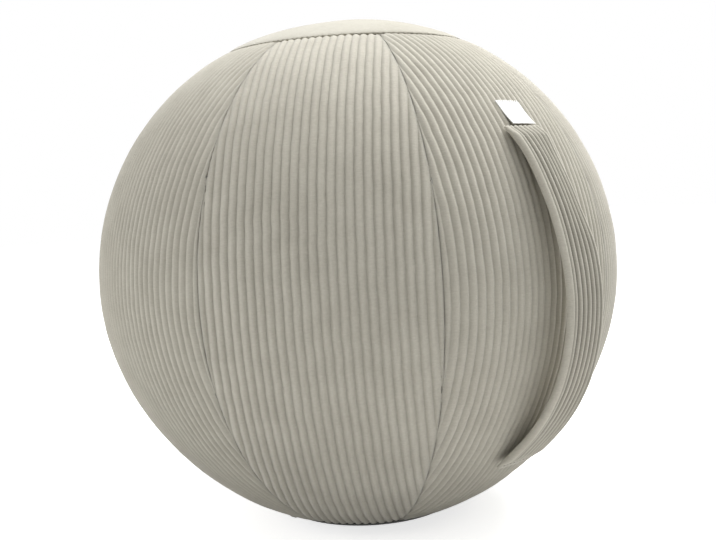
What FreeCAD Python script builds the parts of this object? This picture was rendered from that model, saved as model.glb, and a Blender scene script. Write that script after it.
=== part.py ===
"""Balance ball chair: an inflated ball in a ribbed fabric cover of eight panels.

Millimetres, +Z up. The origin is the centre of the flat face that rests on the floor.
The carry handle faces -Y and the closed zip runs round the back half of the base.
"""
import FreeCAD
import Part
import Sketcher
import math
import os

V = FreeCAD.Vector
X_AXIS, Y_AXIS, Z_AXIS = V(1, 0, 0), V(0, 1, 0), V(0, 0, 1)

# The front, where the handle is.
FRONT = FreeCAD.Rotation(X_AXIS, Y_AXIS * -1)

# Driving sizes: alias, value, meaning. Angles are in degrees.
SIZES = [
    ("ball_radius", 325.0, "widest radius of the filled cover, at rib crests"),
    ("top_rise", 312.0, "height of the crown above the widest level"),
    ("bottom_drop", 319.5, "radius of the underside curve below the widest level"),
    ("panel_count", 8.0, "cover panels round the ball"),
    ("panel_turn_angle", -2.5, "turn of the panels from the handle's plane"),
    ("panel_thickness", 4.0, "padded cloth, crest to lining"),
    ("rib_count", 27.0, "ribs across one panel"),
    ("rib_depth", 1.6, "groove between two ribs"),
    ("panel_rows", 8.0, "straight stretches along a rib"),
    ("lining_strips", 5.0, "flat strips across the lining of a panel"),
    ("cap_radius", 151.0, "seam between the panels and the top cap"),
    ("cap_thickness", 4.0, "top cap cloth and padding"),
    ("cap_swell", 0.8, "rise of the filled cap over the panels' curve"),
    ("cap_rows", 4.0, "straight stretches from the cap's middle to its seam"),
    ("seam_gap", 0.2, "gap left at the sewn edges"),
    ("base_flat_radius", 82.8, "flat face that rests on the floor"),
    ("base_thickness", 3.0, "non-slip base cloth"),
    ("zip_radius", 118.0, "centre line of the zip"),
    ("zip_half_band", 7.0, "centre line of the zip to the edge of the cloth"),
    ("zip_sweep_angle", 179.6, "zip tape round the back"),
    ("tape_thickness", 1.0, "zip tape"),
    ("coil_inner", 0.8, "centre line to the inner side of a coil"),
    ("coil_outer", 3.4, "centre line to the outer side of a coil"),
    ("coil_thickness", 2.6, "coil"),
    ("coil_gap", 0.3, "coil to its tape"),
    ("coil_sweep_angle", 166.0, "coiled length of the zip"),
    ("stop_length", 3.0, "stop at each end of the coils"),
    ("stop_margin", 0.4, "stop over the coil, and slider to the stop at rest"),
    ("slider_length", 12.0, "slider along the zip"),
    ("slider_half_width", 5.2, "slider across the zip, half"),
    ("slider_plate", 1.4, "slider plate thickness"),
    ("slider_clearance", 0.5, "slider plates to the coils"),
    ("slider_flange", 1.0, "turned edge of a slider plate"),
    ("slider_post", 0.8, "post between the plates, across the zip"),
    ("lug_height", 2.8, "lugs that carry the pull"),
    ("lug_thickness", 1.0, "one lug"),
    ("lug_length", 3.4, "lug along the zip"),
    ("pin_radius", 0.8, "pin of the pull"),
    ("pin_clearance", 0.1, "bore of the lugs to the pin"),
    ("pull_length", 20.0, "pull from its pin to its tip"),
    ("pull_width", 6.4, "pull tab"),
    ("pull_neck", 3.0, "pull between the lugs"),
    ("lug_gap", 3.6, "one lug to the other"),
    ("pull_thickness", 1.4, "pull tab"),
    ("handle_width", 54.0, "carry handle across"),
    ("handle_thickness", 8.0, "padded carry handle"),
    ("handle_stand", 37.6, "outer face over the ball where the handle stands off furthest"),
    ("handle_tilt_angle", 5.8, "that place below the widest level"),
    ("handle_roll", 2.4, "bevel of the rolled edges"),
    ("handle_rib_count", 6.0, "ribs on the carry handle"),
    ("handle_border", 4.8, "plain rolled edge beside the ribs"),
    ("handle_rib_depth", 1.4, "groove between two handle ribs"),
    ("handle_end_thickness", 4.5, "sewn end of the handle, over the crests"),
    ("handle_top_angle", 28.2, "middle of the upper sewn end above the widest level"),
    ("handle_top_sweep_angle", 4.2, "length of the upper sewn end, seen from the ball's centre"),
    ("handle_foot_angle", 37.8, "middle of the lower sewn end below the widest level"),
    ("handle_foot_sweep_angle", 4.8, "length of the lower sewn end, seen from the ball's centre"),
    ("handle_sink", 0.8, "sewn end pressed into the ribs"),
    ("label_width", 36.6, "side label"),
    ("label_height", 34.0, "side label"),
    ("label_thickness", 1.0, "side label"),
    ("label_angle", 33.5, "middle of the label above the widest level"),
    ("label_lift", 1.2, "label's underside over the cover's curve"),
    ("label_shift", 6.5, "label to the side of the handle's centre plane"),
    ("inner_slack", 3.2, "inflated ball to the cover's lining"),
    ("inner_wall", 1.4, "wall of the inflated ball"),
    ("ball_sides", 16.0, "flat sides round the inflated ball"),
    ("ball_rows", 10.0, "flat rows from its top to its bottom"),
    ("round_sides", 48.0, "flat sides round the cap, the base and the floor ring"),
    ("valve_sides", 24.0, "flat sides round the valve"),
    ("rest_gap", 0.4, "inflated ball or ring to what it rests on"),
    ("ring_inner_radius", 70.0, "stuffed floor ring, inside"),
    ("ring_outer_radius", 106.0, "stuffed floor ring, outside"),
    ("ring_bulge", 1.5, "swell of the floor ring's sides"),
    ("valve_seat_radius", 13.0, "valve seat"),
    ("valve_flange_radius", 18.0, "flange inside the inflated ball"),
    ("valve_depth", 8.0, "valve seat from face to tip"),
    ("valve_bore_radius", 4.5, "bore of the valve seat"),
    ("plug_head_radius", 8.0, "head of the valve plug"),
    ("plug_head_thickness", 1.6, "head of the valve plug"),
    ("plug_clearance", 0.1, "valve plug to its seat"),
]

# Sizes worked out from the driving ones, as sheet formulas.
DERIVED = [
    ("top_shift", "ball_radius - top_rise"),
    ("bottom_shift", "ball_radius - bottom_drop"),
    ("base_flat_reach", "base_flat_radius - bottom_shift"),
    ("centre_height", "sqrt(bottom_drop * bottom_drop - base_flat_reach * base_flat_reach)"),
    ("zip_reach", "zip_radius - bottom_shift"),
    ("zip_fall", "sqrt(bottom_drop * bottom_drop - zip_reach * zip_reach)"),
    ("zip_height", "centre_height - zip_fall"),
    ("zip_cos", "zip_fall / bottom_drop"),
    ("zip_sin", "zip_reach / bottom_drop"),
    ("stop_turn", "(stop_length + 2 * seam_gap) / (zip_radius - coil_outer) * 180 / pi"),
    ("slider_turn", "(slider_length / 2 + stop_margin) / zip_radius * 180 / pi"),
    ("cap_reach", "cap_radius - top_shift"),
    ("cap_seam_rise", "sqrt(top_rise * top_rise - cap_reach * cap_reach)"),
    ("cap_seam_height", "centre_height + cap_seam_rise"),
    ("cap_crown", "top_rise - cap_seam_rise + cap_swell"),
    ("tape_edge_radius", "zip_radius + zip_half_band * zip_cos + tape_thickness / 2 * zip_sin"),
    ("base_opening_radius", "tape_edge_radius + seam_gap"),
    ("plate_inner", "coil_thickness / 2 + slider_clearance"),
    ("plate_outer", "plate_inner + slider_plate"),
    ("pin_height", "plate_outer + lug_height / 2 + 0.2 * pin_radius"),
    ("inner_radius", "ball_radius - panel_thickness - inner_slack"),
    ("inner_top", "top_rise - panel_thickness - inner_slack"),
    ("inner_bottom", "centre_height - base_thickness - rest_gap"),
    ("inner_shift", "inner_radius - inner_bottom"),
    ("handle_face", "handle_width / 2 - handle_border"),
    ("handle_top_turn", "handle_top_angle + handle_tilt_angle"),
    ("handle_foot_turn", "handle_foot_angle - handle_tilt_angle"),
    ("handle_top_edge", "handle_top_turn + handle_top_sweep_angle / 2"),
    ("handle_foot_edge", "handle_foot_turn + handle_foot_sweep_angle / 2"),
    ("handle_top_seat", "top_rise + top_shift * cos(handle_top_angle) - handle_sink"),
    ("handle_foot_seat", "bottom_drop + bottom_shift * cos(handle_foot_angle) - handle_sink"),
    ("handle_turns", "sin(handle_top_turn) + sin(handle_foot_turn)"),
    ("handle_trim_rise", "(handle_top_seat - handle_foot_seat) / handle_turns"),
    ("handle_trim_radius", "handle_top_seat - handle_trim_rise * sin(handle_top_turn)"),
    ("handle_half_turn", "(handle_top_edge + handle_foot_edge) / 2"),
    ("handle_end_reach", "(handle_top_seat + handle_foot_seat) / 2 + handle_thickness"),
    ("handle_half_chord", "handle_end_reach * sin(handle_half_turn)"),
    ("handle_bow", "ball_radius + handle_stand - handle_end_reach * cos(handle_half_turn)"),
    ("handle_arc_radius", "(handle_half_chord * handle_half_chord / handle_bow + handle_bow) / 2"),
    ("handle_inner_radius", "handle_arc_radius - handle_thickness"),
    ("handle_arc_reach", "ball_radius + handle_stand - handle_arc_radius"),
    ("handle_top_lean", "handle_arc_reach * sin(handle_top_edge) / handle_arc_radius"),
    ("handle_foot_lean", "handle_arc_reach * sin(handle_foot_edge) / handle_arc_radius"),
    ("handle_top_arc", "handle_top_edge + asin(handle_top_lean) / 1 deg"),
    ("handle_foot_arc", "handle_foot_edge + asin(handle_foot_lean) / 1 deg"),
]

doc = FreeCAD.newDocument("balance_ball_chair")


def fill_sheet():
    """Writes the driving sizes and, below them, the formulas."""
    sheet = doc.addObject("Spreadsheet::Sheet", "sizes")
    names = []
    for row, (alias, value, meaning) in enumerate(SIZES, start=1):
        sheet.set(f"A{row}", meaning)
        sheet.set(f"B{row}", str(value))
        sheet.setAlias(f"B{row}", alias)
        names.append(alias)
    for row, (alias, formula) in enumerate(DERIVED, start=len(SIZES) + 1):
        sheet.set(f"B{row}", "=" + formula)
        sheet.setAlias(f"B{row}", alias)
        names.append(alias)
    doc.recompute()
    return sheet, names


sheet, ALIASES = fill_sheet()


def size(alias):
    """A size read from the sheet."""
    return float(sheet.get(alias))


def bound(expression):
    """An expression with each alias turned into its sheet reference."""
    words = []
    word = ""
    for letter in str(expression) + " ":
        if letter.isalnum() or letter == "_":
            word += letter
            continue
        words.append("sizes." + word if word in ALIASES else word)
        words.append(letter)
        word = ""
    return "".join(words).strip()


def value_of(expression):
    """The number that an expression of sizes comes to."""
    return float(sheet.evalExpression(bound(expression)))


def new_body(label):
    """An empty body named for the piece it becomes."""
    body = doc.addObject("PartDesign::Body", label)
    body.Label = label
    return body


def new_sketch(body, name, role):
    """A sketch on one of the body's own origin planes."""
    sketch = body.newObject("Sketcher::SketchObject", name)
    plane = [f for f in body.Origin.OriginFeatures if f.Role == role][0]
    sketch.AttachmentSupport = [(plane, "")]
    sketch.MapMode = "FlatFace"
    return sketch


def add_outline(sketch, points):
    """A closed straight-sided outline whose corners are expressions of sizes."""
    spots = [V(value_of(x), value_of(y), 0) for x, y in points]
    first = sketch.GeometryCount
    count = len(spots)
    for i in range(count):
        sketch.addGeometry(Part.LineSegment(spots[i], spots[(i + 1) % count]), False)
    for i in range(count):
        a, b = first + i, first + (i + 1) % count
        sketch.addConstraint(Sketcher.Constraint("Coincident", a, 2, b, 1))
    for i, (x, y) in enumerate(points):
        for kind, text, number in (("DistanceX", x, spots[i].x), ("DistanceY", y, spots[i].y)):
            row = sketch.addConstraint(Sketcher.Constraint(kind, -1, 1, first + i, 1, number))
            sketch.setExpression(f"Constraints[{row}]", bound(text))


def add_circle(sketch, x, y, radius):
    """A circle whose centre and radius are expressions of sizes."""
    spot = V(value_of(x), value_of(y), 0)
    item = sketch.addGeometry(Part.Circle(spot, Z_AXIS, value_of(radius)), False)
    row = sketch.addConstraint(Sketcher.Constraint("Radius", item, value_of(radius)))
    sketch.setExpression(f"Constraints[{row}]", bound(radius))
    for kind, text, number in (("DistanceX", x, spot.x), ("DistanceY", y, spot.y)):
        row = sketch.addConstraint(Sketcher.Constraint(kind, -1, 1, item, 3, number))
        sketch.setExpression(f"Constraints[{row}]", bound(text))


def revolve(body, sketch, name, axis, sweep="360", midplane=False):
    """A revolution of a sketch about one of its own axes."""
    turn = body.newObject("PartDesign::Revolution", name)
    turn.Profile = sketch
    turn.ReferenceAxis = (sketch, [axis])
    turn.Midplane = midplane
    turn.Angle = value_of(sweep)
    turn.setExpression("Angle", bound(sweep))
    return turn


def pad(body, sketch, name, length):
    """A pad that grows to both sides of its sketch."""
    block = body.newObject("PartDesign::Pad", name)
    block.Profile = sketch
    block.Midplane = True
    block.Length = value_of(length)
    block.setExpression("Length", bound(length))
    return block


def pocket_through(body, sketch, name):
    """A pocket through the whole body, to both sides of its sketch."""
    hole = body.newObject("PartDesign::Pocket", name)
    hole.Profile = sketch
    hole.Type = "ThroughAll"
    hole.Midplane = True
    return hole


def flat_face(*corners):
    """A flat face through its corners."""
    return Part.Face(Part.makePolygon(list(corners) + [corners[0]]))


def closed_solid(faces):
    """A solid from the flat faces that bound it."""
    solid = Part.Solid(Part.Shell(faces))
    if solid.Volume < 0:
        solid.reverse()
    return solid


def flat_sided(outline, sides, start=0.0, part=1.0):
    """An outline of radius and height carried round in flat sides, all the way or part of it."""
    count = int(size(sides))
    spots = [(value_of(reach), value_of(height)) for reach, height in outline]
    stations = []
    for k in range(int(count * part) + 1):
        turn = math.radians(start + 360 * k / count)
        stations.append([V(r * math.cos(turn), r * math.sin(turn), z) for r, z in spots])
    if part == 1.0:
        stations[-1] = stations[0]
    faces = []
    for here, there in zip(stations, stations[1:]):
        for i in range(len(spots)):
            j = (i + 1) % len(spots)
            near, far = spots[i][0] > 0, spots[j][0] > 0
            if near and far:
                faces.append(flat_face(here[i], there[i], there[j], here[j]))
            elif near:
                faces.append(flat_face(here[i], there[i], here[j]))
            elif far:
                faces.append(flat_face(here[i], there[j], here[j]))
    if part < 1.0:
        faces += [flat_face(*stations[0]), flat_face(*stations[-1])]
    return closed_solid(faces)


def shaped(label, shape, placement=FreeCAD.Placement()):
    """A piece that holds a finished shape."""
    piece = doc.addObject("Part::Feature", label)
    piece.Shape = shape
    piece.Placement = placement
    return piece


def prism(name, radius, foot, height, placement):
    """A flat-sided round bar that starts at a depth below a placement."""
    bar = doc.addObject("Part::Prism", name)
    bar.setExpression("Polygon", bound("valve_sides"))
    bar.setExpression("Circumradius", bound(radius))
    bar.setExpression("Height", bound(height))
    bar.Placement = placement.multiply(FreeCAD.Placement(V(0, 0, value_of(foot)), FreeCAD.Rotation()))
    return bar


def cut_away(label, base, tool):
    """One solid with another taken away."""
    result = doc.addObject("Part::Cut", label)
    result.Base = base
    result.Tool = tool
    return result


def joined(label, shapes):
    """Several solids made one."""
    result = doc.addObject("Part::MultiFuse", label)
    result.Shapes = shapes
    return result


# Cover panels: ribbed padded cloth whose ribs run parallel to each panel's middle line.

def meridian(angle):
    """Reach and height of the cover's curve, by the turn of its arc from the widest level."""
    rise = size("top_rise") if angle > 0 else size("bottom_drop")
    shift = size("ball_radius") - rise
    turn = math.radians(angle)
    return shift + rise * math.cos(turn), rise * math.sin(turn)


def ribbed_slab():
    """A curved slab wider than a panel: ribs outside, smooth lining inside."""
    radius, depth = size("ball_radius"), size("rib_depth")
    thickness = size("panel_thickness")
    half_angle = math.pi / size("panel_count")
    half_width = radius * math.sin(half_angle) + depth
    folds = 2 * int(size("rib_count"))
    rows = int(size("panel_rows"))
    trim = 5 * thickness
    low = -math.degrees(math.acos((size("base_opening_radius") - trim) / size("bottom_drop")))
    high = math.degrees(math.acos((size("cap_radius") - trim) / size("top_rise")))
    step = math.radians(high - low) / rows
    swell = 1 + (1 - math.cos(step / 2)) / 2
    path = [meridian(low + (high - low) * i / rows) for i in range(rows + 1)]

    def grid(columns, reach):
        """Corner points: one list for each row of the path."""
        sheet_points = []
        for along, up in path:
            line = []
            for y, drop in columns:
                share = math.sqrt((reach - drop) ** 2 - y * y) / radius * swell
                line.append(V(along * share, y, up * share))
            sheet_points.append(line)
        return sheet_points

    crests = [(-half_width + half_width * 2 * k / folds, depth * ((k + 1) % 2)) for k in range(folds + 1)]
    linings = int(size("lining_strips"))
    plain = [(-half_width + half_width * 2 * k / linings, 0) for k in range(linings + 1)]
    outer = grid(crests, radius)
    inner = grid(plain, radius - thickness)
    faces = []
    for i in range(rows):
        a, b, c, d = outer[i], outer[i + 1], inner[i], inner[i + 1]
        for k in range(folds):
            faces.append(flat_face(a[k], a[k + 1], b[k + 1], b[k]))
        for k in range(linings):
            faces.append(flat_face(c[k], d[k], d[k + 1], c[k + 1]))
        faces.append(flat_face(a[0], b[0], d[0], c[0]))
        faces.append(flat_face(a[-1], c[-1], d[-1], b[-1]))
    for i in (0, rows):
        faces.append(flat_face(*(outer[i] + inner[i][::-1])))
    return closed_solid(faces)


def make_panels():
    """Equal panels, each trimmed at its seams, the cap and the base."""
    half_angle = math.pi / size("panel_count")
    far = size("ball_radius") * 2
    gap = size("seam_gap") / 2 / math.sin(half_angle)
    side = (far - gap) * math.tan(half_angle)
    wedge = flat_face(V(gap, 0, -far), V(far, side, -far), V(far, -side, -far)).extrude(Z_AXIS * far * 2)
    panel = ribbed_slab().common(wedge)
    panel = panel.cut(Part.makeCylinder(size("base_opening_radius"), far, V(0, 0, -far)))
    panel = panel.cut(Part.makeCylinder(size("cap_radius"), far))
    for number in range(int(size("panel_count"))):
        turn = FreeCAD.Rotation(Z_AXIS, size("panel_turn_angle") + number * 360 / size("panel_count"))
        spot = FreeCAD.Placement(V(0, 0, size("centre_height")), turn.multiply(FRONT))
        shaped(f"gore_panel_{number + 1}", panel.copy(), spot)


# Top cap: a round of smooth cloth, low crowned.

def make_top_cap():
    rim = "(cap_radius - seam_gap)"
    drop = "cap_thickness * top_rise / cap_seam_rise"

    def rings(shares, fall):
        """Rings at shares of the rim, on a low crown."""
        return [(f"{rim} * {k}", f"cap_seam_height - {fall} + cap_crown * (1 - {k} * {k})") for k in shares]

    rows = int(size("cap_rows"))
    shares = [row / rows for row in range(rows + 1)]
    shaped("top_cap", flat_sided(rings(shares[::-1], drop) + rings(shares, "0"), "round_sides"))


# Base: a non-slip disc with a turned-up flank, and the seam round the front.

def zip_point(along, out):
    """Reach and height of a point by the zip: along the flank and out from it."""
    reach = f"zip_radius + ({along}) * zip_cos + ({out}) * zip_sin"
    height = f"zip_height + ({along}) * zip_sin - ({out}) * zip_cos"
    return reach, height


def base_inner_point(reach):
    """Height of the base cloth's upper side at a radius on the flank."""
    rim_reach, rim_height = zip_point("-zip_half_band", "-base_thickness")
    slope = f"(({rim_height}) - base_thickness) / (({rim_reach}) - base_flat_radius)"
    return f"base_thickness + (({reach}) - base_flat_radius) * {slope}"


def make_base_disc():
    rim_out, rim_in = zip_point("-zip_half_band", "0"), zip_point("-zip_half_band", "-base_thickness")
    edge_out = zip_point("zip_half_band - 2 * seam_gap", "0")
    edge_in = zip_point("zip_half_band - 2 * seam_gap", "-base_thickness")
    outline = [("0", "0"), ("base_flat_radius", "0"), rim_out, rim_in]
    outline += [("base_flat_radius", "base_thickness"), ("0", "base_thickness")]
    disc = flat_sided(outline, "round_sides")
    front = flat_sided([rim_out, edge_out, edge_in, rim_in], "round_sides", 180, 0.5)
    shaped("base_disc", disc.fuse(front).removeSplitter())


# Zip round the back of the base: tapes, coils, stops.

def zip_section(side, near, far, thickness):
    """Section of a tape or a coil: side is 1 above the zip and -1 below."""
    half = f"{thickness} / 2"
    corners = [(near, half), (far, half), (far, f"-{half}"), (near, f"-{half}")]
    return [zip_point(f"{side} * ({along})", out) for along, out in corners]


def make_zip():
    tape = ("coil_outer + coil_gap", "zip_half_band - seam_gap", "tape_thickness")
    coil = ("coil_inner", "coil_outer", "coil_thickness")
    for level, side in (("upper", 1), ("lower", -1)):
        for part, sizes, sweep in (("tape", tape, "zip_sweep_angle"), ("coil", coil, "coil_sweep_angle")):
            body = new_body(f"zip_{part}_{level}")
            sketch = new_sketch(body, f"{part}_{level}_section", "YZ_Plane")
            add_outline(sketch, zip_section(side, *sizes))
            revolve(body, sketch, f"{part}_{level}_turn", "V_Axis", sweep, True)
    for name, way in (("start", -1), ("end", 1)):
        stop = new_body(f"zip_stop_{name}")
        sketch = new_sketch(stop, f"stop_{name}_section", "YZ_Plane")
        across, out = "coil_outer", "(coil_thickness / 2 + stop_margin)"
        corners = [(f"-{across}", out), (across, out), (across, f"-{out}"), (f"-{across}", f"-{out}")]
        add_outline(sketch, [zip_point(along, up) for along, up in corners])
        pad(stop, sketch, f"stop_{name}_block", "stop_length")
        stop.Placement = turned(way * value_of("coil_sweep_angle / 2 + stop_turn / 2"))


def turned(angle):
    """A placement turned about the upright axis."""
    return FreeCAD.Placement(V(0, 0, 0), FreeCAD.Rotation(Z_AXIS, angle))


# Slider and pull: built along the zip, across it and out from it, then set on its path.

def slider_placement():
    """The closed end of the zip: along it, up the flank, out from it."""
    azimuth = math.radians(90 - size("coil_sweep_angle") / 2 + size("slider_turn"))
    outward = V(math.cos(azimuth), math.sin(azimuth), 0)
    along = V(-math.sin(azimuth), math.cos(azimuth), 0)
    up_flank = outward * size("zip_cos") + Z_AXIS * size("zip_sin")
    out = outward * size("zip_sin") - Z_AXIS * size("zip_cos")
    spot = outward * size("zip_radius") + Z_AXIS * size("zip_height")
    return FreeCAD.Placement(spot, FreeCAD.Rotation(along, up_flank, out, "XYZ"))


def make_slider():
    slider = new_body("zip_slider")
    edge, inside = "slider_half_width", "(slider_half_width - slider_flange)"
    lip = "(tape_thickness / 2 + slider_clearance)"
    right = [(edge, "plate_outer"), (edge, lip), (inside, lip), (inside, "plate_inner")]
    right.append(("slider_post / 2", "plate_inner"))
    quarters = ((right, "", ""), (right[::-1], "", "-"), (right, "-", "-"), (right[::-1], "-", ""))
    sketch = new_sketch(slider, "slider_section", "YZ_Plane")
    add_outline(sketch, [(a + x, b + y) for corners, a, b in quarters for x, y in corners])
    pad(slider, sketch, "slider_body", "slider_length")
    taper = new_sketch(slider, "slider_taper", "XY_Plane")
    tail, waist, narrow = "-slider_length / 2", "slider_length / 10", f"({inside} + 0.3 * slider_flange)"
    for side in ("", "-"):
        add_outline(taper, [(tail, side + edge), (waist, side + edge), (tail, side + narrow)])
    pocket_through(slider, taper, "slider_tail")
    lugs = new_sketch(slider, "lug_profile", "XZ_Plane")
    top, foot, side = "(plate_outer + lug_height)", "(plate_outer - slider_plate / 2)", "lug_length / 2"
    corner = "lug_length / 5"
    lug = [(f"-{side}", foot), (side, foot), (side, f"{top} - {corner}"), (f"{side} - {corner}", top)]
    lug += [(f"-{side} + {corner}", top), (f"-{side}", f"{top} - {corner}")]
    add_outline(lugs, lug)
    pad(slider, lugs, "lug_block", "lug_gap + 2 * lug_thickness")
    slot = new_sketch(slider, "lug_slot", "XZ_Plane")
    high = "plate_outer + 2 * lug_height"
    far = f"({side} + lug_thickness)"
    add_outline(slot, [(f"-{far}", "plate_outer"), (far, "plate_outer"), (far, high), (f"-{far}", high)])
    gap = slider.newObject("PartDesign::Pocket", "lug_gap")
    gap.Profile = slot
    gap.Midplane = True
    gap.Length = size("lug_gap")
    gap.setExpression("Length", bound("lug_gap"))
    bore = new_sketch(slider, "lug_bore", "XZ_Plane")
    add_circle(bore, "0", "pin_height", "pin_radius + pin_clearance")
    pocket_through(slider, bore, "lug_hole")
    slider.Placement = slider_placement()


def make_pull():
    pull = new_body("zip_pull")
    low, high = "pin_height - pull_thickness / 2", "pin_height + pull_thickness / 2"
    for name, root, width in (
        ("neck", "0", "pull_neck"),
        ("tab", "(lug_length / 2 + pull_thickness / 2)", "pull_width"),
    ):
        sketch = new_sketch(pull, f"{name}_profile", "XZ_Plane")
        add_outline(sketch, [(root, low), ("pull_length", low), ("pull_length", high), (root, high)])
        pad(pull, sketch, name, width)
    pin = new_sketch(pull, "pin_profile", "XZ_Plane")
    add_circle(pin, "0", "pin_height", "pin_radius")
    pad(pull, pin, "pin", "lug_gap + 1.6 * lug_thickness")
    eye = new_sketch(pull, "eye_profile", "XY_Plane")
    add_circle(eye, "pull_length - pull_width / 2", "0", "pull_width / 5")
    pocket_through(pull, eye, "eye")
    pull.Placement = slider_placement()


# Carry handle: a ribbed padded strap that stands off the ball, with sewn ends.

def handle_section():
    """Strap section across its width: rolled edges, ribs outside, plain inside."""
    half, face, roll = "handle_width / 2", "handle_face", "handle_roll"
    outer, inner = "-handle_arc_radius", "-handle_inner_radius"
    groove = f"{outer} + handle_rib_depth"
    ribs = int(size("handle_rib_count"))
    left = [(f"-{half} + {roll}", inner), (f"-{half}", f"{inner} - {roll}")]
    left += [(f"-{half}", f"{outer} + {roll}"), (f"-{face} - ({half} - {face}) / 3", outer)]
    middle = []
    for k in range(2 * ribs + 1):
        middle.append((f"{face} * {k - ribs} / {ribs}", outer if k % 2 else groove))
    return left + middle + [(f"-1 * ({x})", y) for x, y in reversed(left)]


def make_handle():
    handle = new_body("carry_handle")
    sketch = new_sketch(handle, "strap_section", "XY_Plane")
    add_outline(sketch, handle_section())
    arc = revolve(handle, sketch, "strap_arc", "H_Axis", "handle_foot_arc")
    arc.Type = "TwoAngles"
    arc.Angle2 = size("handle_top_arc")
    arc.setExpression("Angle2", bound("handle_top_arc"))
    ball = new_sketch(handle, "ball_outline", "YZ_Plane")
    add_circle(ball, "handle_arc_reach", "handle_trim_rise", "handle_trim_radius")
    pocket_through(handle, ball, "ball_trim")
    half = "handle_width / 2"
    for name, way in (("top", -1), ("foot", 1)):
        low = f"-handle_{name}_seat"
        high = f"{low} - handle_sink - handle_end_thickness"
        end = new_sketch(handle, f"{name}_end_section", "XY_Plane")
        turn = FreeCAD.Rotation(X_AXIS, way * size(f"handle_{name}_turn"))
        end.AttachmentOffset = FreeCAD.Placement(Y_AXIS * size("handle_arc_reach"), turn)
        add_outline(end, [(f"-{half}", low), (f"-{half}", high), (half, high), (half, low)])
        revolve(handle, end, f"{name}_end", "H_Axis", f"handle_{name}_sweep_angle", True)
    tilt = FreeCAD.Rotation(X_AXIS, size("handle_tilt_angle"))
    spot = tilt.multVec(Y_AXIS * -size("handle_arc_reach")) + Z_AXIS * size("centre_height")
    handle.Placement = FreeCAD.Placement(spot, tilt)


def make_label():
    """A bare cloth label sewn above the handle."""
    label = doc.addObject("Part::Box", "side_label")
    for side, alias in (("Length", "label_width"), ("Width", "label_height"), ("Height", "label_thickness")):
        label.setExpression(side, bound(alias))
    angle = math.radians(size("label_angle"))
    reach = value_of("top_rise + top_shift * cos(label_angle) + label_lift")
    out = V(0, -math.cos(angle), math.sin(angle))
    up = V(0, math.sin(angle), math.cos(angle))
    corner = out * reach + Z_AXIS * size("centre_height") - up * size("label_height") / 2
    corner += X_AXIS * (size("label_shift") - size("label_width") / 2)
    label.Placement = FreeCAD.Placement(corner, FreeCAD.Rotation(X_AXIS, up, out, "XYZ"))


# Inside: the inflated ball with its valve, and the stuffed floor ring.

def ball_rings(inset):
    """Rings of the inflated ball from its foot to its crown: radius and height."""
    rows = int(size("ball_rows"))
    rings = []
    for row in range(rows + 1):
        turn = f"({180 / rows} * {row} - 90)"
        rise = "inner_top" if row > rows / 2 else "inner_bottom"
        reach = f"inner_radius - {rise} + ({rise} - {inset}) * cos({turn})" if 0 < row < rows else "0"
        rings.append((reach, f"centre_height + ({rise} - {inset}) * sin({turn})"))
    return rings


def valve_placement():
    """Middle of the flat side, low at the back, that carries the valve."""
    low, high = ball_rings("0")[2:4]
    flat = math.cos(math.pi / size("ball_sides"))
    spots = [V(0, value_of(reach) * flat, value_of(height)) for reach, height in (low, high)]
    down = (spots[0] - spots[1]).normalize()
    middle = (spots[0] + spots[1]) / 2
    return FreeCAD.Placement(middle, FreeCAD.Rotation(X_AXIS, down, down.cross(X_AXIS), "XYZ"))


def make_inner_ball():
    half_side = 180 / size("ball_sides")
    outside = flat_sided(ball_rings("0"), "ball_sides", half_side)
    inside = flat_sided(ball_rings("inner_wall"), "ball_sides", half_side)
    seat = valve_placement()
    deep = 4 * size("inner_wall")
    hole = Part.makeCylinder(size("valve_seat_radius"), 2 * deep, Z_AXIS * -deep)
    hole.Placement = seat
    shaped("inner_ball", outside.cut(inside).cut(hole))

    under = "-inner_wall - plug_clearance"
    neck_radius = "valve_seat_radius - plug_clearance"
    neck = prism("seat_neck", neck_radius, under, "inner_wall + plug_clearance", seat)
    flange = prism("seat_flange", "valve_flange_radius", f"{under} - inner_wall", "inner_wall", seat)
    boss = prism("seat_boss", "valve_bore_radius + 2 * inner_wall", "-valve_depth", "valve_depth", seat)
    recess = prism("seat_recess", "plug_head_radius + plug_clearance", "-plug_head_thickness",
                   "2 * plug_head_thickness", seat)
    bore = prism("seat_bore", "valve_bore_radius", "-2 * valve_depth", "2 * valve_depth", seat)
    cut_away("valve_seat", joined("seat_block", [neck, flange, boss]), joined("seat_hollow", [recess, bore]))

    head = prism("plug_head", "plug_head_radius", "-plug_head_thickness", "plug_head_thickness", seat)
    shank_radius = "valve_bore_radius - plug_clearance"
    shank = prism("plug_shank", shank_radius, "-1.2 * valve_depth", "1.2 * valve_depth", seat)
    joined("valve_plug", [head, shank])


def make_floor_ring():
    """A stuffed ring pressed between the base and the inflated ball."""

    def ball_height(reach):
        run = f"({reach} - inner_shift)"
        return f"centre_height - sqrt(inner_bottom * inner_bottom - {run} * {run}) - rest_gap"

    inside, outside = "ring_inner_radius", "ring_outer_radius"
    middle = f"(({inside} + {outside}) / 2)"
    foot = f"{base_inner_point(outside)} + rest_gap"
    outline = [
        (f"{inside} + ring_bulge", "base_thickness + rest_gap"),
        ("base_flat_radius", "base_thickness + rest_gap"),
        (outside, foot),
        (f"{outside} + ring_bulge", f"({foot} + {ball_height(outside)}) / 2"),
        (outside, ball_height(outside)),
        (middle, ball_height(middle)),
        (inside, ball_height(inside)),
        (f"{inside} - ring_bulge", f"(base_thickness + {ball_height(inside)}) / 2"),
    ]
    shaped("floor_ring", flat_sided(outline, "round_sides"))


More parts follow.
